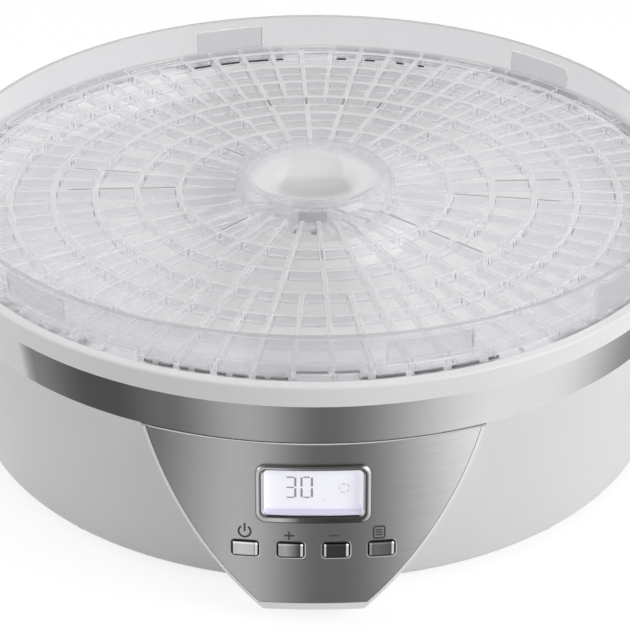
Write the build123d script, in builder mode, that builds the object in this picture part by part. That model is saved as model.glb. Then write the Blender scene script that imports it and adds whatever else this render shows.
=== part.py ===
"""Food dehydrator: a drum base with fan, heater and control panel, and one clear drying tray.

Millimetres. The origin is on the table under the centre, +Z is up and the panel faces -Y.
"""

from build123d import *
from math import atan, cos, degrees, radians, sin, sqrt
import os

os.makedirs("parts", exist_ok=True)

# ---------------------------------------------------------------- driving dimensions

# Base, outside
base_height = 104.4  # table to the top of the ring
ring_width = 4.3  # from the tray's seat to the ring's top edge
ring_height = 9.1
ring_draft = 0.4  # how much the ring narrows downward
band_height = 18.0
band_draft = 2.5
band_thickness = 0.6
housing_foot_inset = 12.2  # from the ring's top edge
housing_bulge = 1.2  # how far the side stands out of a straight cone, halfway up
housing_corner = 4.0
housing_wall = 2.4
foot_height = 2.5
foot_radius = 8.0
foot_inset = 11.3  # middle of a foot, from the housing's lower edge
foot_turn = 40.5  # feet, degrees either side of the front and back

# Clearances
fit_gap = 0.1  # between fixed pieces that plug into each other
show_gap = 0.25  # visible seam round the panel plate
button_gap = 0.5
screw_gap = 0.1
running_gap = 0.05  # shaft in its bushes

# Deck under the tray
deck_wall = 2.2
seat_depth = 2.4  # tray's seat below the top of the ring
tray_seat_gap = 1.2  # round the tray in its seat
seat_width = 7.6
bowl_slope = 6.1
bowl_depth = 15.0
skirt_depth = 7.3
tower_height = 10.0
tower_foot_radius = 47.0
tower_top_radius = 38.0
outlet_inner_slots = 10
outlet_outer_slots = 20
outlet_slot_width = 3.4
outlet_inner = (6.5, 17.5)  # where the inner ring of slots starts and ends
outlet_outer = (19.5, 31.0)
ring_round = 1.2

# Drying tray
tray_radius = 165.0
tray_wall = 2.2
tray_height = 21.4  # rim wall, foot to lip
grid_rise = 4.5  # top of the grid above the tray's foot
grid_depth = 5.2
ring_count = 6
grid_margin = 6.8  # from the rim wall's inside to the outer ring's middle
grid_ring_pitch = 18.9
grid_ring_width = 2.8
rib_width = 2.2
outer_rib_count = 64
inner_rib_count = 32
inner_rib_rings = 3  # the finer ribs start at this ring, counted from the hub
floor_thickness = 1.4
floor_gap = 1.2  # slot between the outermost grid ring and the stepped floor
step_count = 12
low_floor_span = 20.5  # degrees
step_turn = 16.2  # degrees from the front to the first low floor's middle
pad_count = 6
pad_span = 12.3
pad_height = 11.0
pad_rise = 1.2
pad_thickness = 0.8
hub_foot_radius = 36.5
hub_side_radius = 36.3
hub_side_rise = 3.0  # all of the hub's rises are from the grid's top
hub_lip_radius = 32.2
hub_rise = 8.2
hub_lip_width = 0.8
hub_dish_radius = 29.0
hub_dish_rise = 4.2
hub_dish_fall = 1.0
hub_floor_radius = 17.2
hub_floor_step = 0.8
hub_wall = 1.8
tray_lip = 0.8

# Control panel
facia_lean = 0.1992  # how far the panel comes forward for each unit downward
facia_gap = 0.3  # below the steel band
facia_layer = 2.0  # plate and the frame's front together
plate_thickness = 0.8
shield_top_half = 66.7
shield_mid_half = 45.3
shield_bottom_half = 21.4
shield_top_rise = 2.7
shield_mid_drop = 41.7
shield_drop = 69.0
shield_overrun = 4.0  # the outline runs on above the panel's top before it is trimmed
border_width = 1.5  # frame beside the plate
toe_width = 3.0  # frame below the plate
top_lip = 0.6  # frame above the plate
frame_wall = 2.5
frame_floor_z = 5.0

# Display and buttons, in the panel's plane: x across, v up the slope, w out of the panel
bezel_width = 45.8
bezel_height = 24.5
bezel_round = 4.0
bezel_v = -21.3
bezel_proud = 1.8
display_width = 39.6
display_height = 19.2
display_round = 2.0
display_v = -21.0
skirt_rim = 1.3  # bezel's skirt outside the display opening
skirt_end = -5.0
window_thickness = 1.8
surround_draft = 1.0  # how far each side of the display's well leans out
surround_proud = 0.9
lcd_margin = 1.8
lcd_depth = 5.0
lcd_pin_size = 2.0
button_names = ("power", "plus", "minus", "menu")
button_pitch = 18.1
button_v = -45.9
button_width = 10.2
button_height = 5.8
button_round = 1.0
button_proud = 0.7
button_flange = 1.0
button_rear = -9.7
button_travel = 0.5
button_guide_wall = 1.2
board_front = -14.0
board_thickness = 1.6
board_half_width = 31.0
board_top = -5.0
board_bottom = -51.5
switch_side = 6.0
switch_height = 3.5
plunger_radius = 1.7
plunger_depth = 1.5
post_radius = 2.6
post_spots = ((-27.0, -9.0), (27.0, -9.0), (-18.1, -49.0), (18.1, -49.0))
panel_opening_half = 33.5
panel_opening_top = -4.0
panel_opening_bottom = -56.0
panel_screw_spots = ((-14.0, -62.0), (14.0, -62.0))
panel_screw_seat = -26.0
hook_inner = 25.0
hook_outer = 32.0

# Housing, underside and its screws
cover_inset = 20.3  # from the housing's lower edge
cover_thickness = 2.5
ledge_width = 12.0
cover_screw_inset = 6.5
pillar_inset = 11.8  # from the housing's lower edge
pillar_turns = (-160.0, -20.0, 20.0, 160.0)  # degrees from +X
pillar_radius = 5.5
pillar_top_z = 70.0
intake_slots = 24
intake_inner = 22.0
intake_outer = 44.0
intake_slot_width = 3.0

# Fan and heater
duct_radius = 63.0
duct_wall = 1.0
duct_bottom_z = 36.0
duct_flange = 9.0
duct_ear_drop = 11.0  # ears below the deck's floor
duct_ear_reach = 7.0
bracket_thickness = 1.2
bracket_hub_radius = 20.0
bracket_arm_width = 12.0
motor_radius = 18.0
motor_length = 26.0
motor_wall = 1.2
magnet_thickness = 3.0
armature_radius = 12.5
armature_length = 12.0
shaft_radius = 1.6
bush_radius = 4.0
bush_length = 4.0
shaft_top_z = 64.0
impeller_z = 46.0
impeller_height = 13.0
impeller_tip_gap = 5.0
impeller_hub_radius = 9.0
blade_count = 7
blade_thickness = 1.6
blade_pitch = 32.0  # degrees from the plane of rotation
nut_height = 3.0
heater_z = 66.0
heater_height = 12.0
heater_thickness = 1.2
heater_tab_height = 6.0
heater_tab_reach = 2.5
coil_count = 3
coil_pitch = 12.0
coil_margin = 13.0  # from the duct to the outer turn
coil_wire = 1.4
coil_start = 20.0
coil_span = 330.0

# Power board
power_board_y = 94.0
power_board_width = 84.0
power_board_depth = 50.0
power_board_z = 14.0
power_post_inset = 4.0
gland_z = 24.0
gland_radius = 6.0
gland_bore = 3.6
gland_face_reach = 4.9  # beyond the housing's lower edge
gland_sleeve = 15.0
gland_plate_width = 36.0
gland_plate_height = 20.0
gland_plate_round = 3.0
gland_plate_depth = 9.0
gland_plate_lip = 2.0  # rim that rests against the inside of the housing's wall

# ---------------------------------------------------------------- worked-out dimensions

UP = (Align.CENTER, Align.CENTER, Align.MIN)
DOWN = (Align.CENTER, Align.CENTER, Align.MAX)
FRONT = -90.0  # direction of the front, in degrees from +X

seat_radius = tray_radius + tray_seat_gap
ring_radius = seat_radius + ring_width
bowl_rim_radius = seat_radius - seat_width
bowl_floor_radius = bowl_rim_radius - bowl_slope
ring_bottom_z = base_height - ring_height
ring_foot_radius = ring_radius - ring_draft
band_bottom_z = ring_bottom_z - band_height
band_foot_radius = ring_foot_radius - band_draft
band_step = band_thickness + fit_gap

seat_z = base_height - seat_depth
bowl_z = seat_z - bowl_depth
deck_under_z = bowl_z - deck_wall
tower_z = bowl_z + tower_height

grid_z = seat_z + grid_rise
grid_bottom_z = grid_z - grid_depth
tray_top_z = seat_z + tray_height
tray_inner_radius = tray_radius - tray_wall
grid_outer_ring = tray_inner_radius - grid_margin
ring_radii = [grid_outer_ring - grid_ring_pitch * step for step in range(ring_count)]
grid_edge_radius = grid_outer_ring + grid_ring_width / 2
fine_rib_start = ring_radii[ring_count - inner_rib_rings]
floor_inner_radius = grid_edge_radius + floor_gap

cos_lean = cos(atan(facia_lean))
sin_lean = sin(atan(facia_lean))
facia_top_z = band_bottom_z - facia_gap
panel_plane = Plane(
    origin=(0, -band_foot_radius, band_bottom_z),
    x_dir=(1, 0, 0),
    z_dir=(0, -cos_lean, sin_lean),
)
panel_reach = 60.0

housing_foot_radius = ring_radius - housing_foot_inset
foot_circle = housing_foot_radius - foot_inset
cover_radius = housing_foot_radius - cover_inset
ledge_inner_radius = cover_radius - ledge_width
cover_screw_circle = cover_radius - cover_screw_inset
pillar_circle = housing_foot_radius - pillar_inset
gland_face = housing_foot_radius + gland_face_reach
floor_z = foot_height + cover_thickness
floor_top_z = floor_z + housing_wall
shell_mid_z = (foot_height + band_bottom_z) / 2
shell_mid_radius = (housing_foot_radius + band_foot_radius) / 2 + housing_bulge

duct_ear_circle = duct_radius + duct_ear_reach
impeller_radius = duct_radius - duct_wall - impeller_tip_gap
coil_outer = duct_radius - coil_margin
coil_radii = [coil_outer - coil_pitch * step for step in reversed(range(coil_count))]
motor_top_z = duct_bottom_z - bracket_thickness
motor_bottom_z = motor_top_z - motor_length
button_xs = [button_pitch * (step - 1.5) for step in range(len(button_names))]
shield_side = Edge.make_three_point_arc(
    (shield_top_half, shield_top_rise),
    (shield_mid_half, -shield_mid_drop),
    (shield_bottom_half, -shield_drop),
)


def band_radius(z):
    """Outside radius of the steel band at a height."""
    return band_foot_radius + band_draft * (z - band_bottom_z) / band_height


def upper_inner(z):
    """Inside radius of the housing's wall behind the band."""
    return band_radius(z) - band_step - housing_wall


def facia_radius(z, offset=0.0):
    """Radius of the leaning panel surface at a height, moved out square to itself."""
    return band_foot_radius + (band_bottom_z - z) * facia_lean + offset / cos_lean


# ---------------------------------------------------------------- shared shapes


def ring_sector(inner, outer, span):
    """Flat annular sector about the origin, centred on +X."""
    with BuildSketch() as sector:
        with BuildLine():
            inside = CenterArc((0, 0), inner, -span / 2, span)
            outside = CenterArc((0, 0), outer, -span / 2, span)
            Line(inside @ 0, outside @ 0)
            Line(inside @ 1, outside @ 1)
        make_face()
    return sector.sketch


def facia_ring(inner, outer, low=0.0, high=facia_top_z):
    """Ring between two offsets of the leaning panel surface."""
    with BuildPart() as ring:
        with BuildSketch(Plane.XZ):
            with BuildLine():
                Polyline(
                    (facia_radius(low, inner), low),
                    (facia_radius(low, outer), low),
                    (facia_radius(high, outer), high),
                    (facia_radius(high, inner), high),
                    close=True,
                )
            make_face()
        revolve(axis=Axis.Z)
    return ring.part


def shield_half(v):
    """Half the shield's width at a height, on the arc of its side."""
    centre = shield_side.arc_center
    return centre.X + sqrt(shield_side.radius**2 - (v - centre.Y) ** 2)


def shield_prism(margin, toe):
    """Prism square to the panel: the shield grown by a margin at its sides and a toe below."""
    drop = shield_drop + toe - margin
    with BuildPart() as prism:
        with BuildSketch(panel_plane):
            with BuildLine():
                left = ThreePointArc(
                    (-shield_top_half, shield_top_rise),
                    (-shield_mid_half, -shield_mid_drop),
                    (-shield_half(-drop), -drop),
                )
                right = ThreePointArc(
                    (shield_half(-drop), -drop),
                    (shield_mid_half, -shield_mid_drop),
                    (shield_top_half, shield_top_rise),
                )
                Line(left @ 1, right @ 0)
                Polyline(
                    right @ 1,
                    (shield_top_half, shield_top_rise + shield_overrun),
                    (-shield_top_half, shield_top_rise + shield_overrun),
                    left @ 0,
                )
            make_face()
            if margin:
                offset(amount=margin)
        extrude(amount=panel_reach, both=True)
    return prism.part


def panel_block(width, height, corner, x, v, low, high):
    """Rounded block square to the panel, between two distances w out of it."""
    with BuildPart() as block:
        with BuildSketch(panel_plane.offset(low)):
            with Locations((x, v)):
                RectangleRounded(width, height, corner)
        extrude(amount=high - low)
    return block.part


def screws(spots, seat_z, head_radius, head_height, shank_radius, shank_length, up=True):
    """Screws with their heads seated at one height, shanks pointing up or down."""
    with BuildPart() as group:
        with Locations(*[(x, y, seat_z) for x, y in spots]):
            Cylinder(head_radius, head_height, align=DOWN if up else UP)
            Cylinder(shank_radius, shank_length, align=UP if up else DOWN)
    return group


def on_circle(radius, turns):
    """Points at given angles on a circle."""
    return [(radius * cos(radians(turn)), radius * sin(radians(turn))) for turn in turns]


# ---------------------------------------------------------------- drying tray

rib_phase = 180.0 / outer_rib_count
low_floor_turns = FRONT + step_turn
step_pitch = 360.0 / step_count
riser_turn = low_floor_span / 2

with BuildPart() as drying_tray:
    # Rim wall
    with BuildSketch(Plane.XY.offset(seat_z)):
        Circle(tray_radius)
        Circle(tray_inner_radius, mode=Mode.SUBTRACT)
    extrude(amount=tray_height)
    fillet(drying_tray.edges().group_by(Axis.Z)[-1], tray_lip)
    # Stepped floor inside the foot: low and high by turns, with a riser at each change
    low_floor = ring_sector(floor_inner_radius, tray_inner_radius + fit_gap, low_floor_span)
    high_floor = ring_sector(
        floor_inner_radius, tray_inner_radius + fit_gap, step_pitch - low_floor_span
    )
    with BuildSketch(Plane.XY.offset(seat_z)):
        with PolarLocations(0, step_count, start_angle=low_floor_turns):
            add(low_floor)
    extrude(amount=floor_thickness)
    with BuildSketch(Plane.XY.offset(grid_z)):
        with PolarLocations(0, step_count, start_angle=low_floor_turns + step_pitch / 2):
            add(high_floor)
    extrude(amount=-floor_thickness)
    riser_length = tray_inner_radius + fit_gap - floor_inner_radius
    riser_middle = (tray_inner_radius + fit_gap + floor_inner_radius) / 2
    with BuildSketch(Plane.XY.offset(seat_z)):
        for side in (-1, 1):
            with PolarLocations(
                riser_middle, step_count, start_angle=low_floor_turns + side * riser_turn
            ):
                Rectangle(riser_length, floor_thickness)
    extrude(amount=grid_rise)
    # Stop pads inside the wall
    pad = ring_sector(tray_inner_radius - pad_thickness, tray_inner_radius + fit_gap, pad_span)
    with BuildSketch(Plane.XY.offset(grid_z + pad_rise)):
        with PolarLocations(0, pad_count, start_angle=FRONT + step_turn):
            add(pad)
    extrude(amount=pad_height)
    # Grid of rings and ribs
    with BuildSketch(Plane.XY.offset(grid_bottom_z)):
        for radius in ring_radii:
            Circle(radius + grid_ring_width / 2)
            Circle(radius - grid_ring_width / 2, mode=Mode.SUBTRACT)
        fine_length = tray_inner_radius + fit_gap - fine_rib_start
        with PolarLocations(
            fine_rib_start + fine_length / 2, outer_rib_count, start_angle=rib_phase
        ):
            Rectangle(fine_length, rib_width)
        coarse_start = hub_side_radius - hub_wall / 2
        coarse_length = fine_rib_start - coarse_start
        with PolarLocations(
            coarse_start + coarse_length / 2, inner_rib_count, start_angle=rib_phase
        ):
            Rectangle(coarse_length, rib_width)
    extrude(amount=grid_depth)
    # The ribs stop above the seat, which the wall's foot stands on
    with BuildSketch(Plane.XY.offset(grid_bottom_z)):
        Circle(tray_radius)
        Circle(grid_edge_radius, mode=Mode.SUBTRACT)
    extrude(amount=seat_z - grid_bottom_z, mode=Mode.SUBTRACT)
    # Hub: short side, sloping shoulder up to the lip, and a shallow dish inside it
    dish_z = grid_z + hub_dish_rise
    dish_foot_z = dish_z - hub_dish_fall
    with BuildSketch(Plane.XZ):
        with BuildLine():
            Polyline(
                (hub_foot_radius, grid_bottom_z),
                (hub_side_radius, grid_z + hub_side_rise),
                (hub_lip_radius, grid_z + hub_rise),
                (hub_lip_radius - hub_lip_width, grid_z + hub_rise),
                (hub_dish_radius, dish_z),
                (hub_floor_radius, dish_foot_z),
                (hub_floor_radius - hub_floor_step, dish_foot_z - hub_floor_step),
                (0, dish_foot_z - hub_floor_step),
                (0, dish_foot_z - hub_floor_step - hub_wall),
                (hub_floor_radius - hub_floor_step, dish_foot_z - hub_floor_step - hub_wall),
                (hub_floor_radius, dish_foot_z - hub_wall),
                (hub_dish_radius + hub_wall / 2, dish_z - hub_wall),
                (hub_lip_radius - hub_lip_width / 2, grid_z + hub_rise - 1.4 * hub_wall),
                (hub_side_radius - hub_wall, grid_z + hub_side_rise - hub_wall / 2),
                (hub_foot_radius - hub_wall, grid_bottom_z),
                close=True,
            )
        make_face()
    revolve(axis=Axis.Z)

# ---------------------------------------------------------------- deck, band and housing

pillar_spots = on_circle(pillar_circle, pillar_turns)
duct_turns = (45.0, 135.0, 225.0, 315.0)
duct_ear_spots = on_circle(duct_ear_circle, duct_turns)
duct_ear_z = deck_under_z - duct_ear_drop
tower_inset = 1.0
ear_boss_radius = 4.0
duct_screw_radius = 1.4
housing_screw_radius = 1.9

with BuildPart() as top_deck:
    with BuildSketch(Plane.XZ):
        with BuildLine():
            skirt_z = ring_bottom_z - skirt_depth
            Polyline(
                (ring_foot_radius, ring_bottom_z),
                (ring_radius, base_height),
                (seat_radius, base_height),
                (seat_radius, seat_z),
                (bowl_rim_radius, seat_z),
                (bowl_floor_radius, bowl_z),
                (tower_foot_radius, bowl_z),
                (tower_top_radius, tower_z),
                (0, tower_z),
                (0, tower_z - deck_wall),
                (tower_top_radius - tower_inset, tower_z - deck_wall),
                (tower_foot_radius - tower_inset, deck_under_z),
                (bowl_floor_radius + deck_wall / 2, deck_under_z),
                (bowl_rim_radius + deck_wall, seat_z - deck_wall),
                (upper_inner(skirt_z) - fit_gap - deck_wall, seat_z - deck_wall),
                (upper_inner(skirt_z) - fit_gap - deck_wall, skirt_z),
                (upper_inner(skirt_z) - fit_gap, skirt_z),
                (upper_inner(ring_bottom_z) - fit_gap, ring_bottom_z),
                close=True,
            )
        make_face()
    revolve(axis=Axis.Z)
    ring_edges = top_deck.edges().filter_by(GeomType.CIRCLE).group_by(Axis.Z)[-1]
    fillet(ring_edges.sort_by(SortBy.RADIUS)[-1], ring_round)
    # Air outlets in the tower's top, under the tray's hub
    with BuildSketch(Plane.XY.offset(tower_z)):
        for slots, (start, end) in (
            (outlet_inner_slots, outlet_inner),
            (outlet_outer_slots, outlet_outer),
        ):
            with PolarLocations((start + end) / 2, slots):
                SlotOverall(end - start, outlet_slot_width)
    extrude(amount=-deck_wall, mode=Mode.SUBTRACT)
    # Bosses for the housing's long screws
    with BuildSketch(Plane.XY.offset(pillar_top_z)):
        with Locations(*pillar_spots):
            Circle(pillar_radius)
            Circle(housing_screw_radius + screw_gap, mode=Mode.SUBTRACT)
    extrude(amount=deck_under_z - pillar_top_z)
    # Bosses that the duct hangs from
    with BuildSketch(Plane.XY.offset(duct_ear_z)):
        with Locations(*duct_ear_spots):
            Circle(ear_boss_radius)
            Circle(duct_screw_radius + screw_gap, mode=Mode.SUBTRACT)
    extrude(amount=duct_ear_drop)

with BuildPart() as steel_band:
    with BuildSketch(Plane.XZ):
        with BuildLine():
            Polyline(
                (band_foot_radius - band_thickness, band_bottom_z),
                (band_foot_radius, band_bottom_z),
                (ring_foot_radius, ring_bottom_z),
                (ring_foot_radius - band_thickness, ring_bottom_z),
                close=True,
            )
        make_face()
    revolve(axis=Axis.Z)

foot_turns = [FRONT - foot_turn, FRONT + foot_turn, 90 + foot_turn, 90 - foot_turn]
foot_spots = on_circle(foot_circle, foot_turns)
stem_radius = 2.5
cover_screw_spots = on_circle(cover_screw_circle, duct_turns)
cover_screw_radius = 1.4
cover_boss_height = 7.0
counterbore_radius = 4.2
counterbore_z = floor_top_z + 1.6
panel_screw_radius = 1.7
seat_boss_radius = 4.5

panel_pocket = shield_prism(border_width + fit_gap, toe_width + fit_gap) & facia_ring(
    -facia_layer - fit_gap, panel_reach, high=band_bottom_z
)
panel_opening = panel_block(
    2 * panel_opening_half,
    panel_opening_top - panel_opening_bottom,
    3.0,
    0,
    (panel_opening_top + panel_opening_bottom) / 2,
    -panel_reach,
    panel_reach,
)

with BuildPart() as shell_core:
    with BuildSketch(Plane.XZ):
        with BuildLine():
            ThreePointArc(
                (housing_foot_radius, foot_height),
                (shell_mid_radius, shell_mid_z),
                (band_foot_radius, band_bottom_z),
            )
            Polyline(
                (band_foot_radius, band_bottom_z),
                (0, band_bottom_z),
                (0, foot_height),
                (housing_foot_radius, foot_height),
            )
        make_face()
    revolve(axis=Axis.Z)

with BuildPart() as seat_bosses:
    with BuildSketch(panel_plane.offset(panel_screw_seat)):
        with Locations(*panel_screw_spots):
            Circle(seat_boss_radius)
    extrude(amount=-panel_screw_seat)
    add(shell_core.part, mode=Mode.INTERSECT)

with BuildPart() as base_housing:
    with BuildSketch(Plane.XZ):
        with BuildLine():
            ThreePointArc(
                (housing_foot_radius, foot_height),
                (shell_mid_radius, shell_mid_z),
                (band_foot_radius, band_bottom_z),
            )
            Polyline(
                (band_foot_radius, band_bottom_z),
                (band_foot_radius - band_step, band_bottom_z),
                (ring_foot_radius - band_step, ring_bottom_z),
                (upper_inner(ring_bottom_z), ring_bottom_z),
                (upper_inner(band_bottom_z), band_bottom_z),
            )
            ThreePointArc(
                (upper_inner(band_bottom_z), band_bottom_z),
                (shell_mid_radius - housing_wall, shell_mid_z),
                (housing_foot_radius - housing_wall, floor_top_z),
            )
            Polyline(
                (housing_foot_radius - housing_wall, floor_top_z),
                (ledge_inner_radius, floor_top_z),
                (ledge_inner_radius, floor_z),
                (cover_radius + fit_gap, floor_z),
                (cover_radius + fit_gap, foot_height),
                (housing_foot_radius, foot_height),
            )
        make_face()
    revolve(axis=Axis.Z)
    bottom_edges = base_housing.edges().filter_by(GeomType.CIRCLE).group_by(Axis.Z)[0]
    fillet(bottom_edges.sort_by(SortBy.RADIUS)[-1], housing_corner)
    # Pillars for the long screws, bosses for the cover's screws
    with BuildSketch(Plane.XY.offset(floor_z)):
        with Locations(*pillar_spots):
            Circle(pillar_radius)
    extrude(amount=pillar_top_z - floor_z)
    with BuildSketch(Plane.XY.offset(floor_z)):
        with Locations(*cover_screw_spots):
            Circle(ear_boss_radius)
    extrude(amount=cover_boss_height + housing_wall)
    with BuildSketch(Plane.XY.offset(foot_height)):
        with Locations(*pillar_spots):
            Circle(housing_screw_radius + screw_gap)
        with Locations(*cover_screw_spots):
            Circle(cover_screw_radius + screw_gap)
        with Locations(*foot_spots):
            Circle(stem_radius + fit_gap)
    extrude(amount=pillar_top_z, mode=Mode.SUBTRACT)
    with BuildSketch(Plane.XY.offset(foot_height)):
        with Locations(*pillar_spots):
            Circle(counterbore_radius)
    extrude(amount=counterbore_z - foot_height, mode=Mode.SUBTRACT)
    # Seats for the panel's screws, then the panel's opening and its shallow pocket
    add(seat_bosses.part)
    with BuildSketch(panel_plane.offset(panel_screw_seat)):
        with Locations(*panel_screw_spots):
            Circle(panel_screw_radius + screw_gap)
    extrude(amount=-panel_screw_seat, mode=Mode.SUBTRACT)
    add(panel_opening, mode=Mode.SUBTRACT)
    add(panel_pocket, mode=Mode.SUBTRACT)
    # Window for the gland's plate at the rear
    with BuildSketch(Plane.XZ.offset(-ring_radius)):
        with Locations((0, gland_z)):
            RectangleRounded(
                gland_plate_width + 2 * fit_gap,
                gland_plate_height + 2 * fit_gap,
                gland_plate_round + fit_gap,
            )
    extrude(amount=ring_radius - gland_face + gland_plate_depth, mode=Mode.SUBTRACT)

cord_gland_flange = 2.8
gland_nut_height = 4.0
plate_edge_round = 0.6

with BuildPart() as shell_inside:
    with BuildSketch(Plane.XZ):
        with BuildLine():
            ThreePointArc(
                (housing_foot_radius - housing_wall - fit_gap, floor_top_z),
                (shell_mid_radius - housing_wall - fit_gap, shell_mid_z),
                (upper_inner(band_bottom_z) - fit_gap, band_bottom_z),
            )
            Polyline(
                (upper_inner(band_bottom_z) - fit_gap, band_bottom_z),
                (0, band_bottom_z),
                (0, floor_top_z),
                (housing_foot_radius - housing_wall - fit_gap, floor_top_z),
            )
        make_face()
    revolve(axis=Axis.Z)

with BuildPart() as gland_plate_rim:
    with BuildSketch(Plane.XZ.offset(-gland_face)):
        with Locations((0, gland_z)):
            RectangleRounded(
                gland_plate_width + 2 * gland_plate_lip,
                gland_plate_height + 2 * gland_plate_lip,
                gland_plate_round + gland_plate_lip,
            )
    extrude(amount=gland_plate_depth)
    add(shell_inside.part, mode=Mode.INTERSECT)

with BuildPart() as gland_plate:
    with BuildSketch(Plane.XZ.offset(-gland_face)):
        with Locations((0, gland_z)):
            RectangleRounded(gland_plate_width, gland_plate_height, gland_plate_round)
    extrude(amount=gland_plate_depth)
    fillet(gland_plate.edges().group_by(Axis.Y)[-1], plate_edge_round)
    add(gland_plate_rim.part)
    with BuildSketch(Plane.XZ.offset(-gland_face)):
        with Locations((0, gland_z)):
            Circle(gland_radius + fit_gap)
    extrude(amount=gland_plate_depth, mode=Mode.SUBTRACT)

with BuildPart() as cord_gland:
    with BuildSketch(Plane.XZ.offset(-gland_face)):
        with Locations((0, gland_z)):
            Circle(gland_radius)
    extrude(amount=gland_sleeve)
    with BuildSketch(Plane.XZ.offset(-gland_face - cord_gland_flange)):
        with Locations((0, gland_z)):
            Circle(gland_radius + 2.6)
    extrude(amount=cord_gland_flange)
    with BuildSketch(Plane.XZ.offset(-gland_face - cord_gland_flange)):
        with Locations((0, gland_z)):
            Circle(gland_bore)
    extrude(amount=gland_sleeve + cord_gland_flange, mode=Mode.SUBTRACT)

with BuildPart() as gland_nut:
    with BuildSketch(Plane.XZ.offset(-gland_face + gland_plate_depth)):
        with Locations((0, gland_z)):
            RegularPolygon(gland_radius + 3.5, 6)
            Circle(gland_radius + fit_gap, mode=Mode.SUBTRACT)
    extrude(amount=gland_nut_height)

feet = {}
for foot_name, spot in zip(("front_left", "front_right", "rear_left", "rear_right"), foot_spots):
    with BuildPart() as foot:
        with BuildSketch(Plane.XY):
            with Locations(spot):
                Circle(foot_radius)
        extrude(amount=foot_height)
        fillet(foot.edges().group_by(Axis.Z)[0], foot_height / 3)
        with BuildSketch(Plane.XY.offset(foot_height)):
            with Locations(spot):
                Circle(stem_radius)
        extrude(amount=floor_top_z - foot_height)
    feet["foot_" + foot_name] = foot

power_post_x = power_board_width / 2 - power_post_inset
power_post_y = power_board_depth / 2 - power_post_inset
power_post_spots = [
    (side * power_post_x, power_board_y + end * power_post_y)
    for side in (-1, 1)
    for end in (-1, 1)
]
power_post_radius = 3.5
power_screw_radius = 1.2
cover_head_radius = 3.0
cover_head_height = 1.5

with BuildPart() as bottom_cover:
    with BuildSketch(Plane.XY.offset(foot_height)):
        Circle(cover_radius)
        with Locations(*cover_screw_spots):
            Circle(cover_screw_radius + screw_gap, mode=Mode.SUBTRACT)
        with PolarLocations((intake_inner + intake_outer) / 2, intake_slots):
            SlotOverall(intake_outer - intake_inner, intake_slot_width, mode=Mode.SUBTRACT)
    extrude(amount=cover_thickness)
    with BuildSketch(Plane.XY.offset(foot_height)):
        with Locations(*cover_screw_spots):
            Circle(cover_head_radius + screw_gap)
    extrude(amount=cover_head_height, mode=Mode.SUBTRACT)
    with BuildSketch(Plane.XY.offset(floor_z)):
        with Locations(*power_post_spots):
            Circle(power_post_radius)
            Circle(power_screw_radius + screw_gap, mode=Mode.SUBTRACT)
    extrude(amount=power_board_z - floor_z)

cover_screws = screws(
    cover_screw_spots,
    foot_height + cover_head_height,
    cover_head_radius,
    cover_head_height,
    cover_screw_radius,
    cover_thickness + cover_boss_height,
)
housing_screws = screws(
    pillar_spots, counterbore_z, counterbore_radius - 0.3, 2.4, housing_screw_radius, 72.0
)

# ---------------------------------------------------------------- control panel

shield = shield_prism(0, 0)
plate_top_z = facia_top_z - top_lip
display_hole = panel_block(
    display_width + 2 * (skirt_rim + fit_gap),
    display_height + 2 * (skirt_rim + fit_gap),
    display_round + skirt_rim,
    0,
    display_v,
    -panel_reach / 4,
    panel_reach / 4,
)
button_holes = [
    panel_block(
        button_width + 2 * button_gap,
        button_height + 2 * button_gap,
        button_round + button_gap,
        x,
        button_v,
        -panel_reach / 4,
        panel_reach / 4,
    )
    for x in button_xs
]

with BuildPart() as panel_plate:
    add(shield)
    add(facia_ring(-plate_thickness, 0, high=plate_top_z - fit_gap), mode=Mode.INTERSECT)
    add(display_hole, mode=Mode.SUBTRACT)
    add(button_holes, mode=Mode.SUBTRACT)

with BuildPart() as wedge:
    add(facia_ring(-panel_reach, 0, low=frame_floor_z))
    add(shell_core.part, mode=Mode.SUBTRACT)
    add(facia_ring(-facia_layer, 0, low=frame_floor_z))

frame_cavity = shield_prism(border_width - frame_wall, toe_width - frame_wall) & facia_ring(
    -panel_reach, -facia_layer, low=frame_floor_z + frame_wall
)
plate_recess = shield_prism(show_gap, show_gap) & facia_ring(
    -plate_thickness, facia_layer, high=plate_top_z
)
hook_width = hook_outer - hook_inner
hook_middle = (hook_outer + hook_inner) / 2
hook_low = panel_opening_top - 5.5
hook_reach = 8.0
hook_front = -3.2
hook_back = -10.0
hook_thickness = 2.4
panel_boss_radius = 4.0

with BuildPart() as panel_bosses:
    with BuildSketch(panel_plane.offset(-plate_thickness - fit_gap)):
        with Locations(*panel_screw_spots):
            Circle(panel_boss_radius)
    extrude(amount=panel_screw_seat)
    add(wedge.part, mode=Mode.INTERSECT)

guide_end = button_rear + button_flange + fit_gap

with BuildPart() as button_guides:
    with BuildSketch(panel_plane.offset(guide_end)):
        with Locations(*[(x, button_v) for x in button_xs]):
            RectangleRounded(
                button_width + 2 * (button_gap + button_guide_wall),
                button_height + 2 * (button_gap + button_guide_wall),
                button_round + button_gap + button_guide_wall,
            )
    extrude(amount=-guide_end)
    add(facia_ring(-panel_reach, -plate_thickness), mode=Mode.INTERSECT)

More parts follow.
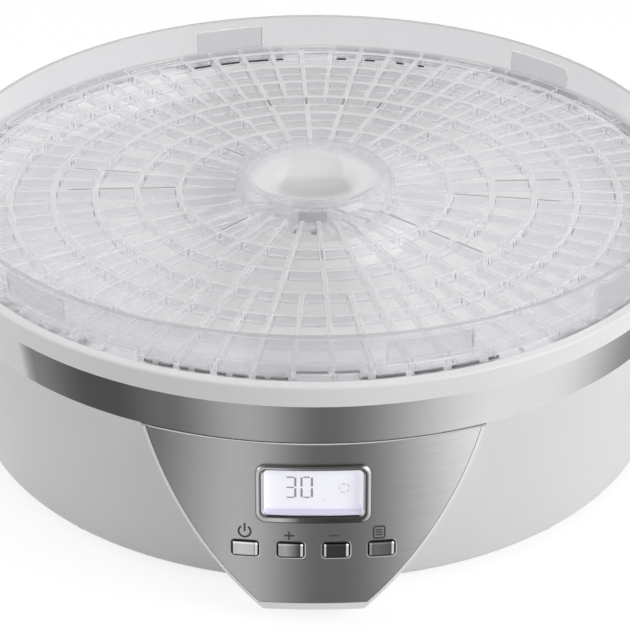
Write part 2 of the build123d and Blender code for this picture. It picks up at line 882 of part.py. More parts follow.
with BuildPart() as panel_frame:
    add(shield_prism(border_width, toe_width))
    add(wedge.part, mode=Mode.INTERSECT)
    add(frame_cavity, mode=Mode.SUBTRACT)
    # Posts for the control board and bosses for the panel's screws
    with BuildSketch(panel_plane.offset(board_front)):
        with Locations(*post_spots):
            Circle(post_radius)
    extrude(amount=-board_front - plate_thickness - 2.0)
    add(panel_bosses.part)
    add(button_guides.part)
    # Hooks that reach up behind the housing's wall
    for side in (-1, 1):
        with BuildSketch(panel_plane.offset(hook_back)):
            with Locations((side * hook_middle, (hook_low + panel_opening_top - 0.5) / 2)):
                Rectangle(hook_width, panel_opening_top - 0.5 - hook_low)
        extrude(amount=hook_front - hook_back)
        with BuildSketch(panel_plane.offset(hook_back)):
            with Locations((side * hook_middle, hook_low + (hook_reach + 5.5) / 2)):
                Rectangle(hook_width, hook_reach + 5.5)
        extrude(amount=hook_thickness)
    add(plate_recess, mode=Mode.SUBTRACT)
    add(display_hole, mode=Mode.SUBTRACT)
    add(button_holes, mode=Mode.SUBTRACT)
    with BuildSketch(panel_plane.offset(board_front)):
        with Locations(*post_spots):
            Circle(1.1)
    extrude(amount=8.0, mode=Mode.SUBTRACT)
    with BuildSketch(panel_plane.offset(panel_screw_seat)):
        with Locations(*panel_screw_spots):
            Circle(panel_screw_radius + screw_gap)
    extrude(amount=-panel_screw_seat - 6.0, mode=Mode.SUBTRACT)

with BuildPart() as panel_screws:
    with BuildSketch(panel_plane.offset(panel_screw_seat)):
        with Locations(*panel_screw_spots):
            Circle(panel_screw_radius)
    extrude(amount=-panel_screw_seat - 7.0)
    with BuildSketch(panel_plane.offset(panel_screw_seat)):
        with Locations(*panel_screw_spots):
            Circle(3.1)
    extrude(amount=-2.0)

bezel_skirt = panel_block(
    display_width + 2 * skirt_rim,
    display_height + 2 * skirt_rim,
    display_round + skirt_rim,
    0,
    display_v,
    skirt_end,
    panel_reach / 4,
) & facia_ring(-panel_reach, 0.1)

with BuildPart() as display_bezel:
    add(
        panel_block(
            bezel_width, bezel_height, bezel_round, 0, bezel_v, -panel_reach / 4, panel_reach / 4
        )
    )
    add(facia_ring(0, bezel_proud), mode=Mode.INTERSECT)
    add(bezel_skirt)
    add(
        panel_block(
            display_width,
            display_height,
            display_round,
            0,
            display_v,
            -panel_reach / 4,
            panel_reach / 4,
        ),
        mode=Mode.SUBTRACT,
    )

window_front = skirt_end + window_thickness
face_width = display_width - 2 * (fit_gap + surround_draft)
face_height = display_height - 2 * (fit_gap + surround_draft)
face_round = display_round - fit_gap - surround_draft
well_depth = surround_proud - window_front

with BuildPart() as display_window:
    add(
        panel_block(
            face_width - 2 * fit_gap,
            face_height - 2 * fit_gap,
            face_round - fit_gap,
            0,
            display_v,
            skirt_end,
            window_front,
        )
    )

with BuildPart() as display_surround:
    add(
        panel_block(
            display_width - 2 * fit_gap,
            display_height - 2 * fit_gap,
            display_round - fit_gap,
            0,
            display_v,
            skirt_end,
            panel_reach / 4,
        )
    )
    add(facia_ring(-panel_reach, surround_proud), mode=Mode.INTERSECT)
    with BuildSketch(panel_plane.offset(skirt_end)):
        with Locations((0, display_v)):
            RectangleRounded(face_width, face_height, face_round)
    extrude(amount=window_thickness, mode=Mode.SUBTRACT)
    with BuildSketch(panel_plane.offset(window_front)):
        with Locations((0, display_v)):
            RectangleRounded(face_width, face_height, face_round)
    extrude(
        amount=2 * well_depth,
        taper=-degrees(atan((surround_draft - fit_gap) / well_depth)),
        mode=Mode.SUBTRACT,
    )

with BuildPart() as lcd_module:
    add(display_surround.part)
    with BuildSketch(panel_plane.offset(skirt_end)):
        with Locations((0, display_v)):
            Rectangle(display_width + 2 * lcd_margin, display_height + 2 * lcd_margin)
    extrude(amount=-lcd_depth)
    with BuildSketch(panel_plane.offset(board_front)):
        with Locations((0, display_v)):
            with GridLocations(0, display_height, 1, 2):
                Rectangle(display_width - lcd_margin, lcd_pin_size)
    extrude(amount=skirt_end - lcd_depth - board_front)

with BuildPart() as control_board:
    with BuildSketch(panel_plane.offset(board_front)):
        with Locations((0, (board_top + board_bottom) / 2)):
            Rectangle(2 * board_half_width, board_top - board_bottom)
        with Locations(*post_spots):
            Circle(1.2, mode=Mode.SUBTRACT)
    extrude(amount=-board_thickness)

with BuildPart() as control_board_screws:
    with BuildSketch(panel_plane.offset(board_front - board_thickness)):
        with Locations(*post_spots):
            Circle(2.2)
    extrude(amount=-1.4)
    with BuildSketch(panel_plane.offset(board_front - board_thickness)):
        with Locations(*post_spots):
            Circle(1.0)
    extrude(amount=7.0)

buttons = {}
for button_name, x in zip(button_names, button_xs):
    with BuildPart() as button:
        add(
            panel_block(
                button_width, button_height, button_round, x, button_v, button_rear, panel_reach / 4
            )
        )
        add(facia_ring(-panel_reach, button_proud), mode=Mode.INTERSECT)
        fillet(button.faces().sort_by(Axis.Y)[0].edges(), 0.5)
        with BuildSketch(panel_plane.offset(button_rear)):
            with Locations((x, button_v)):
                Rectangle(button_width + 2 * button_flange, button_height + 2 * button_flange)
        extrude(amount=button_flange)
    buttons["button_" + button_name] = button
    with BuildPart() as plunger:
        with BuildSketch(panel_plane.offset(button_rear)):
            with Locations((x, button_v)):
                Circle(plunger_radius)
        extrude(amount=-plunger_depth)
    buttons["plunger_" + button_name] = plunger
    with BuildPart() as switch:
        with BuildSketch(panel_plane.offset(board_front)):
            with Locations((x, button_v)):
                Rectangle(switch_side, switch_side)
        extrude(amount=switch_height)
        with BuildSketch(panel_plane.offset(board_front + switch_height)):
            with Locations((x, button_v)):
                Circle(plunger_radius + fit_gap)
        extrude(amount=-plunger_depth - button_travel, mode=Mode.SUBTRACT)
    buttons["switch_" + button_name] = switch

# ---------------------------------------------------------------- fan, motor and heater

bracket_spots = on_circle(duct_radius + duct_flange / 2, duct_turns)
bracket_screw_radius = 1.4
ear_width = 10.0
heater_mid_z = heater_z + heater_height / 2
sensor_z = deck_under_z - 4.0

with BuildPart() as air_duct:
    with BuildSketch(Plane.XY.offset(duct_bottom_z)):
        Circle(duct_radius)
        Circle(duct_radius - duct_wall, mode=Mode.SUBTRACT)
    extrude(amount=deck_under_z - duct_bottom_z - 0.5)
    with BuildSketch(Plane.XY.offset(duct_bottom_z)):
        Circle(duct_radius + duct_flange)
        Circle(duct_radius - duct_wall, mode=Mode.SUBTRACT)
        with Locations(*bracket_spots):
            Circle(bracket_screw_radius + screw_gap, mode=Mode.SUBTRACT)
    extrude(amount=duct_wall)
    with BuildSketch(Plane.XY.offset(duct_ear_z - duct_wall)):
        with PolarLocations((duct_radius + duct_ear_circle) / 2 + 2, 4, start_angle=duct_turns[0]):
            Rectangle(duct_ear_circle - duct_radius + 5, ear_width)
        with Locations(*duct_ear_spots):
            Circle(duct_screw_radius + screw_gap, mode=Mode.SUBTRACT)
    extrude(amount=duct_wall)
    # Slots for the mica plates' tabs and a hole for the sensor
    with BuildSketch(Plane.XY.offset(heater_mid_z - heater_tab_height / 2 - fit_gap)):
        with PolarLocations(duct_radius, 4):
            Rectangle(4 * duct_wall, heater_thickness + 2 * fit_gap)
    extrude(amount=heater_tab_height + 2 * fit_gap, mode=Mode.SUBTRACT)
    with BuildSketch(Plane.YZ.offset(-duct_radius - duct_wall)):
        with Locations((0, sensor_z)):
            Circle(1.5 + fit_gap)
    extrude(amount=3 * duct_wall, mode=Mode.SUBTRACT)

duct_screws = screws(duct_ear_spots, duct_ear_z - duct_wall, 2.8, 1.8, duct_screw_radius, 9.0)

with BuildPart() as motor_bracket:
    with BuildSketch(Plane.XY.offset(motor_top_z)):
        Circle(duct_radius + duct_flange)
        Circle(duct_radius - duct_wall, mode=Mode.SUBTRACT)
        with PolarLocations(duct_radius / 2, 4):
            Rectangle(duct_radius, bracket_arm_width)
        Circle(bracket_hub_radius)
        Circle(bush_radius + 1.0, mode=Mode.SUBTRACT)
        with Locations(*bracket_spots):
            Circle(bracket_screw_radius + screw_gap, mode=Mode.SUBTRACT)
        with PolarLocations(motor_radius - 6.0, 2, start_angle=45.0):
            Circle(bracket_screw_radius + screw_gap, mode=Mode.SUBTRACT)
    extrude(amount=bracket_thickness)

bracket_screws = screws(bracket_spots, motor_top_z, 2.8, 1.8, bracket_screw_radius, 6.0)
motor_screw_spots = on_circle(motor_radius - 6.0, (45.0, 225.0))
motor_screws = screws(
    motor_screw_spots, duct_bottom_z, 2.6, 1.6, bracket_screw_radius, 2.3, up=False
)

with BuildPart() as motor_can:
    with BuildSketch(Plane.XY.offset(motor_bottom_z)):
        Circle(motor_radius)
    extrude(amount=motor_length)
    with BuildSketch(Plane.XY.offset(motor_bottom_z)):
        Circle(motor_radius - motor_wall)
    extrude(amount=motor_length - motor_wall, mode=Mode.SUBTRACT)
    with BuildSketch(Plane.XY.offset(motor_top_z - motor_wall)):
        Circle(bush_radius + 1.5)
    extrude(amount=-bush_length + motor_wall)
    with BuildSketch(Plane.XY.offset(motor_top_z)):
        Circle(bush_radius)
        with Locations(*motor_screw_spots):
            Circle(bracket_screw_radius + screw_gap)
    extrude(amount=-bush_length, mode=Mode.SUBTRACT)

with BuildPart() as motor_end_cap:
    with BuildSketch(Plane.XY.offset(motor_bottom_z)):
        Circle(motor_radius - motor_wall - fit_gap)
        Circle(bush_radius, mode=Mode.SUBTRACT)
    extrude(amount=bush_length)

with BuildPart() as motor_magnets:
    with BuildSketch(Plane.XY.offset(motor_bottom_z + bush_length)):
        with PolarLocations(0, 2):
            add(
                ring_sector(
                    motor_radius - motor_wall - magnet_thickness,
                    motor_radius - motor_wall - fit_gap,
                    140.0,
                )
            )
    extrude(amount=armature_length + 4.0)

bushes = {}
for bush_name, bush_z in (("bottom", motor_bottom_z), ("top", motor_top_z - bush_length)):
    with BuildPart() as bush:
        with BuildSketch(Plane.XY.offset(bush_z)):
            Circle(bush_radius)
            Circle(shaft_radius + running_gap, mode=Mode.SUBTRACT)
        extrude(amount=bush_length)
    bushes["shaft_bush_" + bush_name] = bush

armature_z = (motor_bottom_z + motor_top_z) / 2

with BuildPart() as motor_shaft:
    with BuildSketch(Plane.XY.offset(motor_bottom_z)):
        Circle(shaft_radius)
    extrude(amount=shaft_top_z - motor_bottom_z)

with BuildPart() as motor_armature:
    with BuildSketch(Plane.XY.offset(armature_z - armature_length / 2)):
        Circle(armature_radius)
        with PolarLocations(armature_radius, 6):
            Rectangle(7.0, 2.4, mode=Mode.SUBTRACT)
        Circle(shaft_radius, mode=Mode.SUBTRACT)
    extrude(amount=armature_length)

impeller_top_z = impeller_z + impeller_height
blade_width = impeller_height / sin(radians(blade_pitch)) - blade_thickness
blade_length = impeller_radius - impeller_hub_radius / 2

with BuildPart() as fan_impeller:
    with BuildSketch(Plane.XY.offset(impeller_z)):
        Circle(impeller_hub_radius)
    extrude(amount=impeller_height)
    for turn in range(blade_count):
        blade_plane = Plane(
            origin=(0, 0, impeller_z + impeller_height / 2), z_dir=(1, 0, 0)
        ).rotated((0, 0, turn * 360 / blade_count), ordering=Extrinsic.XYZ)
        with BuildSketch(blade_plane.offset(impeller_hub_radius / 2)):
            Rectangle(blade_thickness, blade_width, rotation=90 - blade_pitch)
        extrude(amount=blade_length)
    with BuildSketch(Plane.XY.offset(impeller_z)):
        Circle(impeller_radius)
    extrude(amount=impeller_height, mode=Mode.INTERSECT)
    with BuildSketch(Plane.XY.offset(impeller_z)):
        Circle(shaft_radius)
    extrude(amount=impeller_height, mode=Mode.SUBTRACT)

with BuildPart() as impeller_nut:
    with BuildSketch(Plane.XY.offset(impeller_top_z)):
        RegularPolygon(3.4, 6)
        Circle(shaft_radius, mode=Mode.SUBTRACT)
    extrude(amount=nut_height)

coil_z = heater_z + heater_height - coil_wire - fit_gap
half_lap = heater_height / 2
plate_reach = duct_radius - duct_wall
heater_plates = {}
for plate_name, turn, lap_z in (
    ("x", 0.0, heater_z),
    ("y", 90.0, heater_z + half_lap),
):
    plate_plane = Plane.XZ.rotated((0, 0, turn))
    with BuildPart() as heater_plate:
        with BuildSketch(plate_plane):
            with Locations((0, heater_mid_z)):
                Rectangle(2 * plate_reach - 1.0, heater_height)
                Rectangle(2 * (duct_radius + heater_tab_reach), heater_tab_height)
            with Locations((0, lap_z + half_lap / 2)):
                Rectangle(heater_thickness + 2 * fit_gap, half_lap, mode=Mode.SUBTRACT)
            for radius in coil_radii:
                with GridLocations(2 * radius, 0, 2, 1):
                    with Locations((0, heater_z + heater_height - coil_wire)):
                        Rectangle(
                            2 * (coil_wire + fit_gap),
                            2 * (coil_wire + fit_gap),
                            mode=Mode.SUBTRACT,
                        )
        extrude(amount=heater_thickness / 2, both=True)
    heater_plates["heater_plate_" + plate_name] = heater_plate

with BuildPart() as heater_coil:
    for radius in coil_radii:
        with BuildSketch(Plane.XZ.rotated((0, 0, coil_start))):
            with Locations((radius, coil_z)):
                Circle(coil_wire)
        revolve(axis=Axis.Z, revolution_arc=-coil_span)
    # Straight links from one turn to the next, at alternate ends
    for inner, outer, turn in (
        (coil_radii[0], coil_radii[1], coil_start - 360 + coil_span),
        (coil_radii[1], coil_radii[2], coil_start),
    ):
        link_plane = Plane(origin=(0, 0, coil_z), z_dir=(1, 0, 0)).rotated(
            (0, 0, turn), ordering=Extrinsic.XYZ
        )
        with BuildSketch(link_plane.offset(inner)):
            Circle(coil_wire)
        extrude(amount=outer - inner)

with BuildPart() as thermal_cutout:
    with BuildSketch(Plane.YZ.offset(duct_radius)):
        with Locations((0, duct_bottom_z + 18.0)):
            Circle(8.0)
    extrude(amount=5.0)
    with BuildSketch(Plane.YZ.offset(duct_radius + 5.0)):
        with Locations((0, duct_bottom_z + 18.0)):
            with GridLocations(7.0, 0, 2, 1):
                Rectangle(0.8, 6.0)
    extrude(amount=6.0)

with BuildPart() as thermal_fuse:
    with BuildSketch(Plane.YZ.offset(coil_radii[0] + 4.0)):
        with Locations((heater_thickness / 2 + 2.0, heater_mid_z - 2.0)):
            Circle(2.0)
    extrude(amount=11.0)

with BuildPart() as temperature_sensor:
    with BuildSketch(Plane.YZ.offset(-duct_radius)):
        with Locations((0, sensor_z)):
            Circle(3.0)
    extrude(amount=-3.0)
    with BuildSketch(Plane.YZ.offset(-duct_radius)):
        with Locations((0, sensor_z)):
            Circle(1.5)
    extrude(amount=14.0)

# ---------------------------------------------------------------- power board

board_top_z = power_board_z + board_thickness

with BuildPart() as power_board:
    with BuildSketch(Plane.XY.offset(power_board_z)):
        with Locations((0, power_board_y)):
            Rectangle(power_board_width, power_board_depth)
        with Locations(*power_post_spots):
            Circle(power_screw_radius + screw_gap, mode=Mode.SUBTRACT)
    extrude(amount=board_thickness)

board_screws = screws(
    power_post_spots, board_top_z, 2.4, 1.6, power_screw_radius, 7.0, up=False
)

with BuildPart() as transformer:
    with BuildSketch(Plane.XY.offset(board_top_z)):
        with Locations((-17.0, power_board_y + 4)):
            Rectangle(32.0, 27.0)
    extrude(amount=24.0)
    chamfer(transformer.edges().filter_by(Axis.Z), 1.5)

with BuildPart() as relay:
    with BuildSketch(Plane.XY.offset(board_top_z)):
        with Locations((22.0, power_board_y + 14)):
            Rectangle(19.0, 15.5)
    extrude(amount=15.0)
    chamfer(relay.edges().group_by(Axis.Z)[-1], 0.8)

with BuildPart() as filter_capacitor:
    with BuildSketch(Plane.XY.offset(board_top_z)):
        with Locations((26.0, power_board_y - 9)):
            Circle(6.5)
    extrude(amount=20.0)
    fillet(filter_capacitor.edges().group_by(Axis.Z)[-1], 0.8)

with BuildPart() as terminal_block:
    with BuildSketch(Plane.XY.offset(board_top_z)):
        with Locations((-4.0, power_board_y - 19)):
            Rectangle(26.0, 9.0)
    extrude(amount=11.0)
    with BuildSketch(Plane.XZ.offset(-power_board_y + 23.5)):
        with Locations((-4.0, board_top_z + 4.5)):
            with GridLocations(8.0, 0, 3, 1):
                Circle(2.2)
    extrude(amount=-5.0, mode=Mode.SUBTRACT)

# ---------------------------------------------------------------- export

pieces = {
    "drying_tray": drying_tray,
    "top_deck": top_deck,
    "steel_band": steel_band,
    "base_housing": base_housing,
    "bottom_cover": bottom_cover,
    "cover_screws": cover_screws,
    "housing_screws": housing_screws,
    "gland_plate": gland_plate,
    "cord_gland": cord_gland,
    "gland_nut": gland_nut,
    "panel_frame": panel_frame,
    "panel_plate": panel_plate,
    "panel_screws": panel_screws,
    "display_bezel": display_bezel,
    "display_window": display_window,
    "lcd_module": lcd_module,
    "control_board": control_board,
    "control_board_screws": control_board_screws,
    "air_duct": air_duct,
    "duct_screws": duct_screws,
    "motor_bracket": motor_bracket,
    "bracket_screws": bracket_screws,
    "motor_screws": motor_screws,
    "motor_can": motor_can,
    "motor_end_cap": motor_end_cap,
    "motor_magnets": motor_magnets,
    "motor_shaft": motor_shaft,
    "motor_armature": motor_armature,
    "fan_impeller": fan_impeller,
    "impeller_nut": impeller_nut,
    "heater_coil": heater_coil,
    "thermal_cutout": thermal_cutout,
    "thermal_fuse": thermal_fuse,
    "temperature_sensor": temperature_sensor,
    "power_board": power_board,
    "board_screws": board_screws,
    "transformer": transformer,
    "relay": relay,
    "filter_capacitor": filter_capacitor,
    "terminal_block": terminal_block,
}
pieces.update(feet)
pieces.update(buttons)
pieces.update(bushes)
pieces.update(heater_plates)

# The drum is built round the Z axis; the finished object is moved so that the origin is under the
# middle of its whole length, panel included
panel_toe_z = band_bottom_z - (shield_drop + toe_width) * cos_lean
centring = Location((0, (facia_radius(panel_toe_z) - ring_radius) / 2, 0))

for name, piece in pieces.items():
    piece.part = piece.part.moved(centring)
    piece.part.label = name
    export_step(piece.part, f"parts/{name}.step")
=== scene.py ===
"""Look of the food dehydrator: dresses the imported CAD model, in metres, +Z up, front facing -Y."""

from math import asin, atan, cos, degrees, pi, radians, sin, sqrt

import bmesh
import bpy
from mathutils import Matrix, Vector


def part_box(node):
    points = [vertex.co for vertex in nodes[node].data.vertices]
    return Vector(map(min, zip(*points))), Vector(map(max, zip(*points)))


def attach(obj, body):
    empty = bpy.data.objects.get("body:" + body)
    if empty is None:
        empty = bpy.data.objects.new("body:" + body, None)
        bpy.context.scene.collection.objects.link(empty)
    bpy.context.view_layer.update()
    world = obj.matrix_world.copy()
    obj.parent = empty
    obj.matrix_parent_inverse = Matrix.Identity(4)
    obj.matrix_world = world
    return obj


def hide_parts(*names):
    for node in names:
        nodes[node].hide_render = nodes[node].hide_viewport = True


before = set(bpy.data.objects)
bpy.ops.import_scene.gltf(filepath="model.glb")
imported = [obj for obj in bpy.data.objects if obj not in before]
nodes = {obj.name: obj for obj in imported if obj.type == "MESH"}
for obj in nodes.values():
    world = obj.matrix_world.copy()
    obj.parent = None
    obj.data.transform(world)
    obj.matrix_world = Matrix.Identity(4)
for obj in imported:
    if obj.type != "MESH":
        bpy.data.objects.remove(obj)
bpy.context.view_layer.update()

MM = 0.001

# ---------------------------------------------------------------- places taken from the frame

tray_low, tray_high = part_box("drying_tray")
_, deck_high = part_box("top_deck")
band_low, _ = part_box("steel_band")
window_low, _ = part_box("display_window")
_, plate_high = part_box("panel_plate")

AXIS_Y = (tray_low.y + tray_high.y) / 2  # the drum's axis stands here
BAND_FOOT_Z = band_low.z
BAND_FOOT_RADIUS = 0.1676

# The control panel lies on a cone that leans out below the steel band's foot
FACIA_LEAN = 0.1992
SLANT = atan(FACIA_LEAN)
PANEL_ORIGIN = Vector((0, AXIS_Y - BAND_FOOT_RADIUS, BAND_FOOT_Z))
PANEL_UP = Vector((0, sin(SLANT), cos(SLANT)))
PANEL_OUT = Vector((0, -cos(SLANT), sin(SLANT)))

# Keys: their row's place up the panel and their size in metres, and their middles across in mm
KEY_V = -0.0459
KEY_WIDTH = 0.0102
KEY_HEIGHT = 0.0058
KEY_MIDDLES = {"power": -27.15, "plus": -9.05, "minus": 9.05, "menu": 27.15}

# Tray: radii and heights of its parts
TRAY_RADIUS = (tray_high.x - tray_low.x) / 2
TRAY_TOP = tray_high.z
WALL_FACE = TRAY_RADIUS - 0.0026
PAD_RADII = (TRAY_RADIUS - 0.0034, TRAY_RADIUS - 0.0027)
PAD_LOW_Z = tray_low.z + 0.0064
PAD_HIGH_Z = PAD_LOW_Z + 0.0112
HUB_PAD_RADII = (0.0355, 0.0375)
HUB_PAD_TOP = tray_low.z + 0.0097
HUB_PAD_FOOT = HUB_PAD_TOP - 0.0052
HUB_PAD_AIM = radians(-91.3)  # from +X
HUB_PAD_HALF = radians(10)
PATCH_ANGLES = (radians(43.5 - 90), radians(63 - 90))  # from +X
LIP_HEIGHTS = (TRAY_TOP - 0.0007, TRAY_TOP - 0.0004)
DISH_RADII = (0.0245, 0.0312)
LENS_HALF = 0.0145  # half its width at the drum's axis
LENS_TAPER = 0.3
LENS_REACH = 0.021  # how far it comes forward
LENS_BACK = (0.0024, 0.0036)
REAR_LENS_HALF = 0.0128
REAR_LENS_DEPTH = 0.0118
REAR_LENS_MIDDLE = 0.014  # behind the drum's axis
CALM_RADII = (0.044, 0.048)  # inside these the grid's edges are fainter
GRID_RADIUS = TRAY_RADIUS - 0.0075
GRID_TOP = tray_low.z + 0.0052
GRID_LIMIT = GRID_TOP + 0.0004  # between the grid's top and whatever stands higher
CREST_HEIGHTS = (GRID_TOP - 0.0006, GRID_TOP - 0.0002)
DARK_RIB_FOOT = GRID_TOP - 0.0008
RIB_PITCH = 360 / 64
FIRST_RIB = RIB_PITCH / 2
OUTER_RING = TRAY_RADIUS - 0.009
RING_PITCH = 0.0189
RING_HALF = 0.0017  # half a ring with its fillets
BOWL_RADIUS = TRAY_RADIUS - 0.0065


def ring_point(turn, radius, z):
    """Point on a circle round the drum's axis; turn in degrees from the front, towards +X."""
    angle = radians(turn - 90)
    return Vector((radius * cos(angle), AXIS_Y + radius * sin(angle), z))


def panel_point(x, v, out):
    """Point over the leaning panel: x across, v up the slope, out from its curved surface."""
    w = 0.0
    for _ in range(6):
        p = PANEL_ORIGIN + Vector((x, 0, 0)) + PANEL_UP * v + PANEL_OUT * w
        wanted = BAND_FOOT_RADIUS + (BAND_FOOT_Z - p.z) * FACIA_LEAN + out / cos(SLANT)
        w += (wanted - sqrt(p.x**2 + (p.y - AXIS_Y) ** 2)) * cos(SLANT)
    return PANEL_ORIGIN + Vector((x, 0, 0)) + PANEL_UP * v + PANEL_OUT * w


def flat_panel_point(x, v, w):
    """Point in the panel's flat coordinates, w square to the panel."""
    return PANEL_ORIGIN + Vector((x, 0, 0)) + PANEL_UP * v + PANEL_OUT * w


# ---------------------------------------------------------------- materials


def grey(tone, blue=1.0):
    """Colour of one level, its blue a little up or down."""
    return (tone, tone, tone * blue)


class Surface:
    """A node material under construction, with a Principled shader."""

    def __init__(self, name, colour, roughness, metallic=0.0, **sockets):
        self.material = bpy.data.materials.new(name)
        self.material.use_nodes = True
        self.tree = self.material.node_tree
        self.nodes = self.tree.nodes
        self.shader = self.nodes["Principled BSDF"]
        self.colour = colour
        self.shader.inputs["Base Color"].default_value = (*colour, 1.0)
        self.shader.inputs["Roughness"].default_value = roughness
        self.shader.inputs["Metallic"].default_value = metallic
        for socket, value in sockets.items():
            self.shader.inputs[socket.replace("_", " ")].default_value = value
        self.roughness = roughness
        coordinates = self.nodes.new("ShaderNodeTexCoord")
        self.place = coordinates.outputs["Object"]
        self.bump_before = None

    def link(self, a, b):
        self.tree.links.new(a, b)

    def math(self, operation, a, b=0.0):
        node = self.nodes.new("ShaderNodeMath")
        node.operation = operation
        for socket, value in zip(node.inputs, (a, b)):
            if isinstance(value, (int, float)):
                socket.default_value = value
            else:
                self.link(value, socket)
        return node.outputs[0]

    def product(self, first, *others):
        """Values multiplied together."""
        for other in others:
            first = self.math("MULTIPLY", first, other)
        return first

    def within(self, value, low, high):
        """1 where a value lies between two limits, and 0 elsewhere."""
        above = self.math("GREATER_THAN", value, low)
        return self.product(above, self.math("LESS_THAN", value, high))

    def split(self, vector=None):
        """The X, Y and Z of a vector, or of the point's own place."""
        node = self.nodes.new("ShaderNodeSeparateXYZ")
        self.link(vector or self.place, node.inputs[0])
        return node.outputs

    def ramp(self, value, stops, interpolation="LINEAR"):
        """Colour that follows a value, from (place, colour) stops in rising order."""
        node = self.nodes.new("ShaderNodeValToRGB")
        node.color_ramp.interpolation = interpolation
        elements = node.color_ramp.elements
        for index, (place, colour) in enumerate((stops[0], stops[-1])):
            elements[index].position = place
            elements[index].color = (*colour, 1)
        for place, colour in stops[1:-1]:
            elements.new(place).color = (*colour, 1)
        self.link(value, node.inputs["Fac"])
        return node.outputs["Color"]

    def multiply(self, first, second, factor=1.0):
        """First colour multiplied by the second, mixed in by a factor."""
        mix = self.nodes.new("ShaderNodeMix")
        mix.data_type = "RGBA"
        mix.blend_type = "MULTIPLY"
        mix.inputs["Factor"].default_value = factor
        self.link(first, mix.inputs["A"])
        self.link(second, mix.inputs["B"])
        return mix.outputs["Result"]

    def paint(self, colour, socket="Base Color"):
        """Links a colour to the shader."""
        self.link(colour, self.shader.inputs[socket])

    def noise(self, scale, detail=3.0, vector=None, roughness=0.55):
        node = self.nodes.new("ShaderNodeTexNoise")
        node.inputs["Scale"].default_value = scale
        node.inputs["Detail"].default_value = detail
        node.inputs["Roughness"].default_value = roughness
        self.link(vector or self.place, node.inputs["Vector"])
        return node.outputs["Fac"]

    def spread(self, value, low, high, out_low, out_high):
        node = self.nodes.new("ShaderNodeMapRange")
        node.inputs["From Min"].default_value = low
        node.inputs["From Max"].default_value = high
        node.inputs["To Min"].default_value = out_low
        node.inputs["To Max"].default_value = out_high
        self.link(value, node.inputs["Value"])
        return node.outputs["Result"]

    def vary_colour(self, value, amount):
        """Base colour a little darker and lighter with a value from 0 to 1."""
        dark = [c * (1 - amount) for c in self.colour]
        light = [min(1.0, c * (1 + amount)) for c in self.colour]
        self.paint(self.ramp(value, ((0.3, dark), (0.7, light))))
        return self

    def darken(self, value, share):
        """Base colour brought down to a share of itself where a value reaches 1."""
        before = self.shader.inputs["Base Color"].links[0].from_socket
        shade = self.ramp(value, ((0.0, grey(1.0)), (1.0, grey(share))))
        self.paint(self.multiply(before, shade))
        return self

    def darken_above(self, low, high, share):
        """Base colour brought down to a share of itself above a height."""
        return self.darken(self.spread(self.split()["Z"], low, high, 0.0, 1.0), share)

    def paint_bowl_shade(self, radius, share):
        """Base colour a little deeper inside a radius, in the middle and towards the rear: painted
        shade in the bowl under the tray.
        """
        spot = DrumPlace(self)
        inside = self.spread(spot.radius, radius, radius - 0.002, 0.0, 1.0)
        left = self.spread(spot.x, -0.08, -0.045, 0.2, 1.0)
        right = self.spread(spot.x, 0.012, 0.042, 1.0, 0.0)
        front = self.spread(spot.behind, -0.115, -0.09, 0.0, 0.75)
        middle = self.product(left, right, front)
        aside = self.spread(self.math("ABSOLUTE", spot.x), 0.045, 0.09, 1.0, 0.1)
        rear = self.product(self.spread(spot.behind, 0.05, 0.1, 0.0, 1.0), aside)
        return self.darken(self.product(inside, self.math("MAXIMUM", middle, rear)), share)

    def vary_roughness(self, value, amount):
        """Roughness a little lower and higher with a value from 0 to 1."""
        low, high = self.roughness * (1 - amount), self.roughness * (1 + amount)
        self.link(self.spread(value, 0.3, 0.7, low, high), self.shader.inputs["Roughness"])
        return self

    def bump(self, value, strength, distance=0.0001):
        node = self.nodes.new("ShaderNodeBump")
        node.inputs["Strength"].default_value = strength
        node.inputs["Distance"].default_value = distance
        self.link(value, node.inputs["Height"])
        if self.bump_before is not None:
            self.link(self.bump_before, node.inputs["Normal"])
        self.bump_before = node.outputs["Normal"]
        self.link(node.outputs["Normal"], self.shader.inputs["Normal"])
        return self


class DrumPlace:
    """Where a point of a surface is about the drum's axis."""

    def __init__(self, s):
        place = s.split()
        self.x = place["X"]
        self.z = place["Z"]
        self.behind = s.math("SUBTRACT", place["Y"], AXIS_Y)
        self.angle = s.math("ARCTAN2", self.behind, self.x)  # in radians from +X
        squares = s.math("ADD", s.product(self.x, self.x), s.product(self.behind, self.behind))
        self.radius = s.math("SQRT", squares)


FINE = 0.00005  # depth of a fine texture's bumps
FINEST = 0.00003  # the same on a polished or lit face


def moulded(name, colour, roughness, grain=900.0, depth=0.25, mottle=0.02, **sockets):
    """Moulded plastic: faint flow mottle and a fine spark-eroded texture."""
    s = Surface(name, colour, roughness, **sockets)
    s.vary_colour(s.noise(14.0, 2.0), mottle)
    fine = s.noise(grain, 2.0)
    s.vary_roughness(fine, 0.12)
    s.bump(fine, depth, FINE)
    return s


def metal(name, colour, roughness, grain=400.0, depth=0.2, mottle=0.08):
    """Plain sheet or turned metal with a cloudy finish."""
    s = Surface(name, colour, roughness, metallic=1.0)
    cloud = s.noise(grain, 4.0)
    s.vary_colour(s.noise(60.0, 4.0), mottle)
    s.vary_roughness(cloud, 0.25)
    s.bump(cloud, depth, FINE)
    return s


GRAIN_SHARE = 0.42  # how much of the brushing's shade shows in the colour


